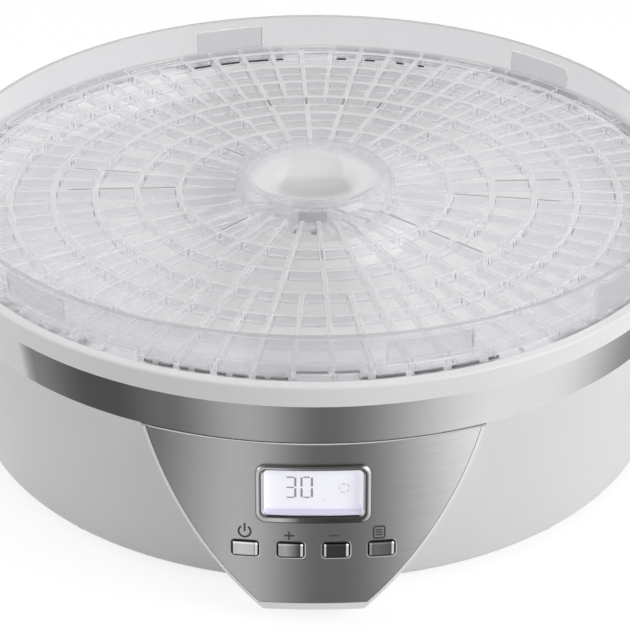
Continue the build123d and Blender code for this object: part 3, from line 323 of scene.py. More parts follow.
def brushed_round(name, colour, roughness, stops):
    """Steel brushed round the drum, with soft light and dark bands of painted reflection that stand
    across the grain.
    """
    s = Surface(name, colour, roughness, metallic=1.0)
    spot = DrumPlace(s)
    join = s.nodes.new("ShaderNodeCombineXYZ")
    s.link(s.math("MULTIPLY", spot.angle, 0.35), join.inputs["X"])
    s.link(s.math("MULTIPLY", spot.z, 60.0), join.inputs["Y"])
    grain = s.noise(16.0, 5.0, join.outputs["Vector"], 0.7)
    turn = s.math("DIVIDE", s.math("ADD", spot.angle, pi), 2 * pi)
    levels = [(place, [c * level for c in colour]) for place, level in stops]
    shade = s.ramp(grain, ((0.3, grey(0.8)), (0.7, grey(1.0))))
    s.paint(s.multiply(s.ramp(turn, levels, "EASE"), shade, GRAIN_SHARE))
    s.vary_roughness(grain, 0.25)
    s.bump(grain, 0.2, FINE)
    return s


def reflection_stops(levels):
    """Ramp stops of painted reflection from pairs of a direction, in degrees from the front towards
    +X, and a brightness.
    """
    return sorted((((turn - 90) % 360 + 180) % 360 / 360, level) for turn, level in levels)


# Painted reflection: one stop for each light and each dark stretch; they run into each other smoothly
band_reflection_stops = reflection_stops(
    (
        (-174, 0.45),
        (-158, 0.66),
        (-140, 0.2),
        (-122, 0.1),
        (-104, 0.42),
        (-88, 0.66),
        (-72, 0.5),
        (-56, 0.62),
        (-44.2, 0.58),
        (-43.2, 0.19),
        (-32, 0.07),
        (-28, 0.07),
        (-20, 0.14),
        (-9, 0.38),
        (1.5, 0.13),
        (26, 0.74),
        (34, 0.73),
        (54, 0.16),
        (64, 0.12),
        (84, 0.5),
        (112, 0.62),
        (146, 0.14),
    )
)
# Painted reflection on the panel's plate, in the same way
panel_reflection_stops = reflection_stops(
    ((-90, 0.2), (-24, 0.15), (-10, 0.4), (1, 0.12), (3, 0.12), (26, 0.7), (90, 0.5))
)

deck_white = moulded("deck_white", (0.85, 0.85, 0.855), 0.34, grain=1500, depth=0.08)
# The deck darker inside its bowl: painted shade
deck_white = deck_white.paint_bowl_shade(BOWL_RADIUS, 0.76).material
housing_grey = moulded("housing_grey", (0.78, 0.78, 0.785), 0.36, grain=1500, depth=0.15).material
frame_grey = moulded("frame_grey", (0.88, 0.88, 0.885), 0.34, grain=1500, depth=0.1)
# The frame's upper edge, just under the steel band, darker: painted shade
frame_grey = frame_grey.darken_above(band_low.z - 0.0015, band_low.z - 0.0006, 0.5).material
foot_grey = moulded("foot_grey", (0.5, 0.5, 0.505), 0.7, grain=700, depth=0.5).material
band_steel = brushed_round("band_steel", (1.0, 1.0, 1.005), 0.34, band_reflection_stops).material
panel_steel = brushed_round("panel_steel", (1.05, 1.05, 1.055), 0.32, panel_reflection_stops).material
screw_steel = metal("screw_steel", (0.55, 0.55, 0.57), 0.35).material
sheet_steel = metal("sheet_steel", (0.6, 0.61, 0.62), 0.3, grain=120, mottle=0.15).material
motor_steel = metal("motor_steel", (0.45, 0.45, 0.47), 0.38).material
magnet_grey = moulded("magnet_grey", (0.05, 0.05, 0.055), 0.6, grain=500, depth=0.4).material
bronze = metal("bronze", (0.5, 0.3, 0.12), 0.42).material
copper = metal("copper", (0.55, 0.22, 0.08), 0.35, grain=800).material
heater_wire = metal("heater_wire", (0.2, 0.18, 0.16), 0.5).material
black_plastic = moulded("black_plastic", (0.02, 0.02, 0.022), 0.45).material
cover_plastic = moulded("cover_plastic", (0.09, 0.09, 0.095), 0.5, grain=700, depth=0.5).material
fan_plastic = moulded("fan_plastic", (0.03, 0.03, 0.033), 0.4).material
blue_plastic = moulded("blue_plastic", (0.01, 0.05, 0.3), 0.3).material
green_plastic = moulded("green_plastic", (0.01, 0.18, 0.06), 0.35).material
mica = moulded("mica", (0.42, 0.31, 0.16), 0.5, grain=180, depth=0.4, mottle=0.2).material
winding = moulded("winding", (0.55, 0.33, 0.05), 0.35, grain=500, mottle=0.1).material
ink = moulded("ink", (0.035, 0.035, 0.038), 0.5, grain=1500, depth=0.1).material
# Near black for the key holes' linings: painted shade
gap_shade = moulded("gap_shade", (0.02, 0.02, 0.022), 0.6, grain=900, depth=0.2).material
segment_grey = moulded("segment_grey", (0.36, 0.36, 0.39), 0.5, grain=1500, depth=0.1).material
segment_pale = moulded("segment_pale", (0.66, 0.66, 0.7), 0.5, grain=1500, depth=0.1).material


def lit_plastic(name, colour, glow, roughness):
    """Pale plastic lit from behind, with a faint cloud."""
    s = Surface(name, colour, roughness, Emission_Strength=glow)
    cloud = s.noise(30.0, 2.0)
    s.vary_colour(cloud, 0.015)
    dimmer = [c * 0.97 for c in colour]
    s.paint(s.ramp(cloud, ((0.0, dimmer), (1.0, colour))), "Emission Color")
    s.bump(s.noise(1200.0, 2.0), 0.05, FINEST)
    return s.material


def surround_surface(name, shaded, lit, level):
    """Frame round the display: lit by it, but shaded below a height."""
    s = Surface(name, lit, 0.3, Emission_Strength=0.2)
    height = s.spread(s.split()["Z"], level, level + 0.0004, 0.0, 1.0)
    tone = s.ramp(height, ((0.0, shaded), (1.0, lit)))
    s.paint(tone)
    s.paint(tone, "Emission Color")
    s.bump(s.noise(1200.0, 2.0), 0.05, FINEST)
    return s.material


def polished(name, roughness):
    """Chrome plate whose painted reflections, light and dark, are the piece's colour attribute, tone.
    """
    s = Surface(name, (0.8, 0.8, 0.82), roughness, metallic=1.0)
    tone = s.nodes.new("ShaderNodeVertexColor")
    tone.layer_name = "tone"
    cloud = s.ramp(s.noise(300.0, 2.0), ((0.0, (0.95, 0.95, 0.96)), (1.0, grey(1.0))))
    s.paint(s.multiply(tone.outputs["Color"], cloud))
    s.bump(s.noise(900.0, 2.0), 0.03, FINEST)
    return s.material


COOL = 1.02  # chrome's blue against its red and green


def key_surface(name, middle, left, right, left_glint, right_glint):
    """Chromed key with painted reflections: its face runs from one tone to another between its two
    ends, with painted glints near both ends.
    """
    s = Surface(name, (0.4, 0.4, 0.41), 0.22, metallic=1.0)
    away = s.nodes.new("ShaderNodeVectorMath")
    away.operation = "SUBTRACT"
    s.link(s.place, away.inputs[0])
    away.inputs[1].default_value = flat_panel_point(middle * MM, KEY_V, 0)
    across = s.split(away.outputs["Vector"])["X"]
    up = s.nodes.new("ShaderNodeVectorMath")
    up.operation = "DOT_PRODUCT"
    s.link(away.outputs["Vector"], up.inputs[0])
    up.inputs[1].default_value = PANEL_UP
    face = [(0.0, grey(0.1))]
    for place, tone in (
        (0.025, 0.1),
        (0.045, left_glint),
        (0.09, left_glint),
        (0.12, left * 0.9),
        (0.3, left),
        (0.55, 0.5 * (left + right)),
        (0.83, right),
        (0.87, right * 0.45),
        (0.9, right_glint),
        (0.965, right_glint),
        (0.985, 0.1),
    ):
        face.append((place, grey(tone, COOL)))
    face.append((1.0, grey(0.08)))
    # Painted highlight near the key's upper edge and painted shade along its lower edge
    edge = [(0.0, grey(0.15))]
    for place, tone in ((0.05, 0.6), (0.1, 1.0), (0.84, 1.0), (0.9, 1.7), (0.95, 1.5), (1.0, 0.25)):
        edge.append((place, grey(tone)))
    face = s.ramp(s.spread(across, -KEY_WIDTH / 2, KEY_WIDTH / 2, 0, 1), face)
    edge = s.ramp(s.spread(up.outputs["Value"], -KEY_HEIGHT / 2, KEY_HEIGHT / 2, 0, 1), edge)
    s.paint(s.multiply(face, edge))
    s.bump(s.noise(600.0, 2.0), 0.05, FINEST)
    return s.material


display_white = lit_plastic("display_white", (0.86, 0.86, 0.92), 0.3, 0.25)
surround_white = surround_surface(
    "surround_white", (0.64, 0.62, 0.74), (0.86, 0.86, 0.91), window_low.z + 0.0008
)
chrome = polished("chrome", 0.14)

# Each key's painted reflection tone at its left and right, and that of the painted glints at its two
# ends
key_reflection_tones = {
    "power": (0.54, 0.48, 0.56, 0.66),
    "plus": (0.34, 0.06, 0.34, 0.6),
    "minus": (0.04, 0.035, 0.55, 0.6),
    "menu": (0.13, 0.1, 0.3, 0.62),
}
key_looks = {
    "button_" + key: key_surface("key_" + key, KEY_MIDDLES[key], *key_reflection_tones[key])
    for key in KEY_MIDDLES
}


def board_surface():
    """Green solder mask over faint straight tracks."""
    s = Surface("circuit_board", (0.01, 0.11, 0.04), 0.35)
    wave = s.nodes.new("ShaderNodeTexWave")
    wave.inputs["Scale"].default_value = 90.0
    wave.inputs["Distortion"].default_value = 4.0
    wave.inputs["Detail Scale"].default_value = 3.0
    s.link(s.place, wave.inputs["Vector"])
    s.vary_colour(wave.outputs["Fac"], 0.35)
    s.bump(wave.outputs["Fac"], 0.3, 0.00008)
    return s.material


circuit_board = board_surface()


def diffuse(s, tone, blue=1.01):
    """Plain scattering shader of one level."""
    node = s.nodes.new("ShaderNodeBsdfDiffuse")
    node.inputs["Color"].default_value = (tone, tone, min(1.0, tone * blue), 1)
    return node


def transparent(s, level):
    """Shader that lets a share of the light through."""
    node = s.nodes.new("ShaderNodeBsdfTransparent")
    node.inputs["Color"].default_value = (*grey(level), 1)
    return node


def blend(s, share, first, second):
    """Mix of two shaders by a number or a value."""
    node = s.nodes.new("ShaderNodeMixShader")
    if isinstance(share, float):
        node.inputs["Fac"].default_value = share
    else:
        s.link(share, node.inputs["Fac"])
    s.link(first.outputs[0], node.inputs[1])
    s.link(second.outputs[0], node.inputs[2])
    return node


def blend_hub(s, spot, shader):
    """The milky dish in the tray's middle and the darker discs of painted shade on it."""
    for share, tone in ((spot.dish(), 0.93), (spot.lens(), 0.64), (spot.rear_lens_shade(), 0.74)):
        shader = blend(s, share, shader, diffuse(s, tone))
    return shader


def finish_clear(s, shader, shadow):
    """Material that lets most of the lamps' light through."""
    ray = s.nodes.new("ShaderNodeLightPath")
    mix = blend(s, ray.outputs["Is Shadow Ray"], shader, transparent(s, shadow))
    s.link(mix.outputs["Shader"], s.nodes["Material Output"].inputs["Surface"])
    return s.material


PLAIN_SHARE = 0.8  # of the clear plastic; the rest bends light


def clear_surface(name, colour, roughness, shadow):
    """Clear plastic: partly bending light, partly plain tinted, with milky and frosted parts."""
    s = Surface(name, colour, roughness, IOR=1.1, Transmission_Weight=1.0)
    s.bump(s.noise(25.0, 2.0), 0.15, 0.0001)
    spot = TraySpot(s)
    # The wall's tint deeper towards the rear, more so to the right: painted shade
    behind = s.spread(spot.behind, 0.0, 0.1, 0.0, 1.0)
    aside = s.spread(spot.x, -0.12, 0.02, 0.75, 1.3)
    deeper = [c * 0.85 for c in colour]
    tint = s.ramp(s.product(behind, aside, spot.wall), ((0.0, colour), (1.0, deeper)))
    plain = transparent(s, 1.0)
    s.link(tint, plain.inputs["Color"])
    gloss = s.nodes.new("ShaderNodeBsdfGlossy")
    gloss.inputs["Color"].default_value = (0.9, 0.9, 0.9, 1)
    gloss.inputs["Roughness"].default_value = 0.08
    facing = s.nodes.new("ShaderNodeFresnel")
    facing.inputs["IOR"].default_value = 1.45
    outer = s.math("SUBTRACT", 1.0, spot.facing.outputs["Backfacing"])
    thin = blend(s, s.product(facing.outputs["Fac"], outer), plain, gloss)
    mixed = blend(s, PLAIN_SHARE, s.shader, thin)
    mixed = blend(s, spot.haze(), mixed, diffuse(s, 0.88))
    mixed = blend_hub(s, spot, mixed)
    mixed = blend(s, spot.pad(), mixed, diffuse(s, 0.5, 1.05))
    mixed = blend(s, spot.patch(), mixed, diffuse(s, 0.5, 1.04))
    mixed = blend(s, spot.crest_highlight(), mixed, diffuse(s, 0.97))
    mixed = blend(s, spot.lip(), mixed, diffuse(s, 0.42))
    mixed = blend(s, spot.painted_rib_reflections(), mixed, diffuse(s, 0.1))
    return finish_clear(s, mixed, shadow)


def edge_surface(name, shadow):
    """Edges of the clear grid: painted highlights along their tops, painted dark reflections on their
    lower and upright faces.
    """
    s = Surface(name, grey(0.95), 0.2)
    mixed = transparent(s, 0.95)
    spot = TraySpot(s)
    mark = s.noise(90.0, 2.0)
    calm = s.spread(spot.radius, *CALM_RADII, 0.25, 1.0)
    top = s.spread(spot.rise, 0.25, 0.6, 0.0, 1.0)
    foot = s.spread(spot.rise, -0.6, -0.25, 1.0, 0.0)
    stood = s.spread(s.math("ABSOLUTE", spot.rise), 0.1, 0.3, 1.0, 0.0)
    # Painted highlight on upward faces, painted dark reflections on downward and upright faces, broken
    # up by noise
    for side, marks, tone in (
        (top, (0.38, 0.62, 0.45, 1.0), 0.98),
        (foot, (0.4, 0.65, 0.05, 0.6), 0.3),
        (stood, (0.42, 0.6, 0.1, 0.75), 0.16),
    ):
        share = s.product(side, calm, s.spread(mark, *marks))
        mixed = blend(s, share, mixed, diffuse(s, tone))
    return finish_clear(s, blend_hub(s, spot, mixed), shadow)


# Stretches of rib top with a painted dark reflection: turn, inner and outer radius, half a width
DARK_RIB_REFLECTIONS = [
    (FIRST_RIB + 8 * RIB_PITCH, 0.039, 0.0605, 0.0005),
    (FIRST_RIB + 8 * RIB_PITCH, 0.067, 0.0965, 0.00045),
    (FIRST_RIB - 24 * RIB_PITCH, 0.0447, 0.0577, 0.0005),
    (FIRST_RIB - 8 * RIB_PITCH, 0.04, 0.061, 0.0005),
    (FIRST_RIB, 0.0615, 0.0715, 0.00035),
    (FIRST_RIB + 14 * RIB_PITCH, 0.062, 0.111, 0.0005),
    (FIRST_RIB + 16 * RIB_PITCH, 0.082, 0.112, 0.0005),
    (FIRST_RIB - 16 * RIB_PITCH, 0.062, 0.111, 0.0005),
    (FIRST_RIB - 18 * RIB_PITCH, 0.082, 0.111, 0.0004),
    (FIRST_RIB - 20 * RIB_PITCH, 0.044, 0.062, 0.0003),
]
DARK_RIB_REFLECTIONS += [(FIRST_RIB + step * RIB_PITCH, 0.0895, 0.097, 0.0008) for step in (28, 30, 32, 34)]


class TraySpot(DrumPlace):
    """Where a point is on the tray, which way it faces, and how much of each part's look it has."""

    def __init__(self, s):
        super().__init__(s)
        self.s = s
        self.wall = s.math("GREATER_THAN", self.radius, WALL_FACE)
        self.facing = s.nodes.new("ShaderNodeNewGeometry")
        self.rise = s.split(self.facing.outputs["Normal"])["Z"]

    def haze(self):
        """Faint cloud, a little more of it in the wall."""
        s = self.s
        cloud = s.spread(s.noise(40.0, 2.0), 0.3, 0.7, 0.0, 0.02)
        return s.math("ADD", cloud, s.product(self.wall, 0.03))

    def dish(self):
        """Milky dish in the tray's middle."""
        return self.s.spread(self.radius, *DISH_RADII, 0.66, 0.08)

    def lens(self):
        """Painted shade in the dish: a darker disc, rounded at its front and cut off at the drum's
        axis.
        """
        s = self.s
        wide = s.math("SUBTRACT", LENS_HALF, s.math("MULTIPLY", self.behind, LENS_TAPER))
        side = s.math("ABSOLUTE", s.math("DIVIDE", self.x, wide))
        ahead = s.spread(self.behind, 0.0, -LENS_REACH, 0.0, 1.0)
        rim = s.math("ADD", s.math("POWER", side, 3.0), s.math("POWER", ahead, 3.0))
        back = s.spread(self.behind, *LENS_BACK, 1.0, 0.0)
        return s.product(s.spread(rim, 0.8, 1.1, 0.5, 0.0), back)

    def rear_lens_shade(self):
        """Fainter painted shade of the same disc behind the drum's axis."""
        s = self.s
        across = s.math("POWER", s.math("DIVIDE", self.x, REAR_LENS_HALF), 4.0)
        back = s.math("SUBTRACT", self.behind, REAR_LENS_MIDDLE)
        back = s.math("DIVIDE", back, REAR_LENS_DEPTH)
        rim = s.math("ADD", across, s.math("POWER", back, 4.0))
        return s.spread(rim, 0.75, 1.1, 0.3, 0.0)

    def pad(self):
        """Frosted stop pads on the wall, and a grey patch of painted shadow on the front of the hub.
        """
        s = self.s
        face = s.within(self.radius, *PAD_RADII)
        tall = s.within(self.z, PAD_LOW_Z, PAD_HIGH_Z)
        stop = s.product(face, tall, s.spread(self.behind, 0.0, 0.1, 0.24, 0.46))
        shell = s.within(self.radius, *HUB_PAD_RADII)
        level = s.within(self.z, HUB_PAD_FOOT, HUB_PAD_TOP)
        turn = s.math("ABSOLUTE", s.math("SUBTRACT", self.angle, HUB_PAD_AIM))
        ahead = s.math("LESS_THAN", turn, HUB_PAD_HALF)
        return s.math("MAXIMUM", stop, s.product(shell, level, ahead, 0.9))

    def patch(self):
        """Greyer stretch of the wall at the front right."""
        s = self.s
        turned = s.within(self.angle, *PATCH_ANGLES)
        tall = s.within(self.z, PAD_LOW_Z - 0.001, PAD_HIGH_Z)
        return s.product(turned, self.wall, tall, 0.3)

    def painted_rib_reflections(self):
        """Painted dark reflections on stretches of rib top, broken where the rings cross them."""
        s = self.s
        total = 0.0
        for turn, start, end, half in DARK_RIB_REFLECTIONS:
            aim = radians((turn + 90) % 360 - 180)
            aside = s.math("ABSOLUTE", s.math("SUBTRACT", self.angle, aim))
            near = s.math("LESS_THAN", s.product(aside, self.radius), half)
            mark = s.product(near, s.within(self.radius, start, end))
            total = s.math("MAXIMUM", mark, total)
        # Counted from the outermost ring, with whole pitches added so that it stays above zero
        place = s.math("ADD", self.radius, 8 * RING_PITCH - OUTER_RING)
        clear = s.math("GREATER_THAN", s.math("PINGPONG", place, RING_PITCH / 2), RING_HALF)
        over = s.within(self.z, DARK_RIB_FOOT, GRID_LIMIT)
        return s.product(total, clear, over, 0.56)

    def crest_highlight(self):
        """Painted highlight on the tops of the grid's ribs and rings, stronger towards the rear."""
        s = self.s
        upward = s.spread(self.rise, 0.6, 0.9, 0.0, 1.0)
        high = s.spread(self.z, *CREST_HEIGHTS, 0.0, 1.0)
        low = s.math("LESS_THAN", self.z, GRID_LIMIT)
        inside = s.math("LESS_THAN", self.radius, GRID_RADIUS)
        return s.product(upward, high, low, inside, s.spread(self.behind, -0.06, 0.1, 0.2, 0.52))

    def lip(self):
        """Grey line along the wall's upper edge."""
        return self.s.spread(self.z, *LIP_HEIGHTS, 0.0, 0.32)


clear_plastic = clear_surface("clear_plastic", (0.950, 0.952, 0.962), 0.05, 0.9)
clear_edge = edge_surface("clear_edge", 0.9)

# ---------------------------------------------------------------- CAD nodes that stay


def dress(name, material):
    """Gives a CAD node a material and smooth curved faces."""
    mesh = nodes[name].data
    mesh.materials.clear()
    mesh.materials.append(material)
    mesh.shade_smooth()
    mesh.set_sharp_from_angle(angle=radians(28))


looks = {
    "drying_tray": clear_plastic,
    "top_deck": deck_white,
    "steel_band": band_steel,
    "base_housing": housing_grey,
    "bottom_cover": cover_plastic,
    "gland_plate": housing_grey,
    "cord_gland": black_plastic,
    "gland_nut": black_plastic,
    "panel_frame": frame_grey,
    "panel_plate": panel_steel,
    "display_bezel": screw_steel,
    "display_window": display_white,
    "lcd_module": surround_white,
    "control_board": circuit_board,
    "power_board": circuit_board,
    "air_duct": sheet_steel,
    "motor_bracket": sheet_steel,
    "motor_can": motor_steel,
    "motor_end_cap": black_plastic,
    "motor_magnets": magnet_grey,
    "motor_shaft": screw_steel,
    "motor_armature": copper,
    "fan_impeller": fan_plastic,
    "impeller_nut": screw_steel,
    "heater_coil": heater_wire,
    "heater_plate_x": mica,
    "heater_plate_y": mica,
    "thermal_cutout": black_plastic,
    "thermal_fuse": sheet_steel,
    "temperature_sensor": sheet_steel,
    "transformer": winding,
    "relay": blue_plastic,
    "filter_capacitor": black_plastic,
    "terminal_block": green_plastic,
    "shaft_bush_top": bronze,
    "shaft_bush_bottom": bronze,
}
for node_name in nodes:
    if node_name in looks:
        dress(node_name, looks[node_name])
    elif node_name.startswith("foot_"):
        dress(node_name, foot_grey)
    elif node_name in key_looks:
        dress(node_name, key_looks[node_name])
    elif node_name.startswith("switch_"):
        dress(node_name, sheet_steel)
    elif node_name.startswith("plunger_"):
        dress(node_name, black_plastic)
    else:
        dress(node_name, screw_steel)

tray = nodes["drying_tray"]
weld = tray.modifiers.new("weld", "WELD")
weld.merge_threshold = 0.00001
bevel = tray.modifiers.new("bevel", "BEVEL")
bevel.width = 0.0003
bevel.segments = 2
bevel.limit_method = "ANGLE"
bevel.material = len(tray.data.materials)
tray.data.materials.append(clear_edge)
bevel.angle_limit = radians(80)
bevel.use_clamp_overlap = False

# ---------------------------------------------------------------- pieces of the scene's own


def piece(name, shape, material, body="base", tones=None, sharp=35):
    """Mesh of points and faces that rides on a body, with an optional tone for each point."""
    points, faces = shape
    mesh = bpy.data.meshes.new(name)
    mesh.from_pydata([tuple(p) for p in points], [], faces)
    mesh.materials.append(material)
    if tones is not None:
        layer = mesh.color_attributes.new("tone", "FLOAT_COLOR", "POINT")
        for item, tone in zip(layer.data, tones):
            item.color = (*grey(tone, COOL), 1)
    shaper = bmesh.new()
    shaper.from_mesh(mesh)
    bmesh.ops.recalc_face_normals(shaper, faces=shaper.faces)
    shaper.to_mesh(mesh)
    shaper.free()
    mesh.shade_smooth()
    mesh.set_sharp_from_angle(angle=radians(sharp))
    made = bpy.data.objects.new(name, mesh)
    bpy.context.scene.collection.objects.link(made)
    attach(made, body)
    return made


def rounded_outline(half_w, half_h, corner, side_steps=14, corner_steps=6):
    """Points (x, y, direction) round a rounded rectangle, anticlockwise from its lower right."""
    outline = []
    quarters = ((1, -1), (1, 1), (-1, 1), (-1, -1))
    for index, (side, end) in enumerate(quarters):
        cx, cy = side * (half_w - corner), end * (half_h - corner)
        start = -90 + 90 * index
        for step in range(corner_steps + 1):
            turn = start + 90 * step / corner_steps
            outline.append(
                (cx + corner * cos(radians(turn)), cy + corner * sin(radians(turn)), turn)
            )
        side, end = quarters[(index + 1) % 4]
        nx, ny = side * (half_w - corner), end * (half_h - corner)
        x, y, turn = outline[-1]
        to_x = nx + corner * cos(radians(start + 90))
        to_y = ny + corner * sin(radians(start + 90))
        for step in range(1, side_steps):
            share = step / side_steps
            outline.append((x + (to_x - x) * share, y + (to_y - y) * share, turn))
    return outline


def tube(rings):
    """Points and faces of a closed ring, from its section's loops in order."""
    count = len(rings[0])
    points = [p for ring in rings for p in ring]
    faces = []
    for level in range(len(rings)):
        here = level * count
        after = (level + 1) % len(rings) * count
        for step in range(count):
            beyond = (step + 1) % count
            faces.append((here + step, here + beyond, after + beyond, after + step))
    return points, faces


def between(table, turn):
    """Value at a direction, from values at every 45 degrees starting on the right."""
    place = (turn % 360) / 45
    low = int(place) % 8
    share = place - int(place)
    return table[low] * (1 - share) + table[(low + 1) % 8] * share


def along(stops, x):
    """Value at x on a line of straight pieces."""
    for (x0, y0), (x1, y1) in zip(stops, stops[1:]):
        if x <= x1:
            return y0 + (y1 - y0) * max(0.0, (x - x0) / (x1 - x0))
    return stops[-1][1]


# The bezel and the display's opening on the panel, in mm; v counts up the slope
BEZEL = dict(half_w=22.9, half_h=12.25, corner=4.0)
BEZEL_V = -21.65
DISPLAY = dict(half_w=19.8, half_h=9.35, corner=2.0)
DISPLAY_V = -21.0
SKIRT = 1.3
SKIRT_END = -5.0
SKIRT_TONE = 0.2
WINDOW_FRONT = -3.2

# Painted reflection tones along the bezel's bottom and top, as (x, tone)
bottom_run = ((-19.0, 0.42), (-14.0, 0.52), (-9.0, 0.3), (-5.0, 0.07), (8.0, 0.035), (19.0, 0.05))
top_run = ((-19.0, 0.5), (-13.0, 0.46), (-7.0, 0.24), (2.0, 0.16), (19.0, 0.13))

# Bezel: share of the way in from the outer edge, height over the panel, and the chrome's painted
# reflection tone at right, upper right, top, upper left, left, lower left, bottom and lower right
bezel_section = (
    (0.0, 0.0, (0.12, 0.4, 0.26, 0.3, 0.08, 0.06, 0.04, 0.2)),
    (0.0, 0.95, (0.14, 0.75, 0.3, 0.36, 0.08, 0.07, 0.04, 0.26)),
    (0.1, 1.45, (0.5, 0.95, 0.1, 0.45, 0.34, 0.16, 0.04, 0.5)),
    (0.26, 1.74, (0.66, 0.9, 0.09, 0.5, 0.62, 0.42, bottom_run, 0.5)),
    (0.45, 1.8, (0.28, 0.3, top_run, 0.44, 0.4, 0.44, bottom_run, 0.12)),
    (0.6, 1.68, (0.05, 0.08, top_run, 0.2, 0.05, 0.2, bottom_run, 0.05)),
    (0.7, 1.5, (0.05, 0.06, 0.1, 0.1, 0.12, 0.08, 0.06, 0.06)),
    (0.84, 1.15, (0.3, 0.08, 0.09, 0.1, 0.7, 0.3, 0.03, 0.6)),
    (1.0, 0.8, (0.6, 0.12, 0.09, 0.14, 0.85, 0.8, 0.03, 0.9)),
)
outer = rounded_outline(**BEZEL)
inner = rounded_outline(**DISPLAY)
rings = []
tones = []
for share, out, table in bezel_section:
    ring = []
    for (ox, oy, turn), (ix, iy, _) in zip(outer, inner):
        x = ox + (ix - ox) * share
        v = oy + BEZEL_V + (iy + DISPLAY_V - oy - BEZEL_V) * share
        ring.append(panel_point(x * MM, v * MM, out * MM))
        local = [tone if isinstance(tone, float) else along(tone, x) for tone in table]
        tones.append(between(local, turn))
    rings.append(ring)
for grow, place, out in (
    (0.0, flat_panel_point, SKIRT_END),
    (SKIRT, flat_panel_point, SKIRT_END),
    (SKIRT, panel_point, 0.0),
):
    ring = []
    for ix, iy, turn in inner:
        x = ix + grow * cos(radians(turn))
        v = iy + DISPLAY_V + grow * sin(radians(turn))
        ring.append(place(x * MM, v * MM, out * MM))
        tones.append(SKIRT_TONE)
    rings.append(ring)
bezel = piece("bezel_ring", tube(rings), chrome, tones=tones, sharp=60)
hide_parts("display_bezel")


def curved_strip(name, spans, radius, thickness, low, high, material, body):
    """Thin upright strips on a circle, one for each span of turns."""
    points = []
    faces = []
    for start, end in spans:
        steps = max(2, round((end - start) / 0.5))
        base = len(points)
        for step in range(steps + 1):
            turn = start + (end - start) * step / steps
            points += [
                ring_point(turn, radius, low),
                ring_point(turn, radius + thickness, low),
                ring_point(turn, radius + thickness, high),
                ring_point(turn, radius, high),
            ]
        faces.append((base, base + 1, base + 2, base + 3))
        for step in range(steps):
            a, b = base + 4 * step, base + 4 * step + 4
            for side in range(4):
                after = (side + 1) % 4
                faces.append((a + side, a + after, b + after, b + side))
        last = base + 4 * steps
        faces.append((last + 3, last + 2, last + 1, last))
    return piece(name, (points, faces), material, body=body, sharp=40)


# Dark strips of painted shade where the shaded slots between the grid's outermost ring and the stepped
# floor show through the wall
SLOT_RADIUS = TRAY_RADIUS - 0.004
BACK_SLOT_RADIUS = 0.1545
DASH_PITCH = 360 / 66
FIRST_DASH = 2.45
slot_shade = moulded("slot_shade", (0.03, 0.03, 0.033), 0.6, grain=900, depth=0.2).material


def tray_shade_strips(name, spans, radius, low, high):
    """Dark strips of painted shade in the tray, their heights given over its underside."""
    low, high = tray_low.z + low, tray_low.z + high
    curved_strip(name, spans, radius, 0.0004, low, high, slot_shade, "tray")


left_ribs = [FIRST_DASH + DASH_PITCH * step for step in (-5, -4, -3, -2)]
right_ribs = [FIRST_DASH + DASH_PITCH * step for step in (1, 2, 3)]
low_spans = []
for rib in left_ribs:
    low_spans += [(rib + 0.5, rib + 1.8), (rib + 2.7, rib + 4.95)]
low_spans += [(rib + 0.7, rib + 4.9) for rib in right_ribs]
low_spans += [(6.7, 7.5), (-7.9, -6.9), (-5.9, -3.5), (25.2, 26.8)]
tray_shade_strips("slot_low", low_spans, SLOT_RADIUS, 0.00075, 0.00195)
tray_shade_strips("slot_high", [(-2.4, 2.0), (2.9, 6.4)], SLOT_RADIUS, 0.0039, 0.005)
rear_ribs = [FIRST_RIB + step * RIB_PITCH for step in (33, 34, 35)]
back_spans = [(rib + 0.7, rib + RIB_PITCH - 0.7) for rib in rear_ribs]
back_spans += [(186.3, 187.7), (174.2, 176.0), (168.6, 170.6), (163.0, 164.4), (158.9, 160.2)]
tray_shade_strips("slot_back", back_spans, BACK_SLOT_RADIUS, 0.0013, 0.0022)

# Pale baffle under the deck's air slots, glowing faintly as painted light, and a strip of painted
# shade on it
BAFFLE_Z = deck_high.z - 0.0088
BAFFLE_FOOT = BAFFLE_Z - 0.0008
BAFFLE_HOLE = 0.0045
BAFFLE_RADIUS = 0.034
baffle_rings = [
    [ring_point(360 * step / 96, radius, z) for step in range(96)]
    for radius, z in (
        (BAFFLE_HOLE, BAFFLE_Z),
        (BAFFLE_RADIUS, BAFFLE_Z),
        (BAFFLE_RADIUS, BAFFLE_FOOT),
        (BAFFLE_HOLE, BAFFLE_FOOT),
    )
]
baffle_glow = moulded("baffle_glow", (0.8, 0.8, 0.8), 0.4, grain=900, Emission_Strength=0.25)
baffle_glow.shader.inputs["Emission Color"].default_value = (0.8, 0.8, 0.8, 1)
piece("air_baffle", tube(baffle_rings), baffle_glow.material)
curved_strip(
    "baffle_shade", [(-5.5, 5.5), (-20.5, -16.5)], 0.0225, 0.0105,
    BAFFLE_Z + 0.00005, BAFFLE_Z + 0.00015, segment_grey, "base",
)


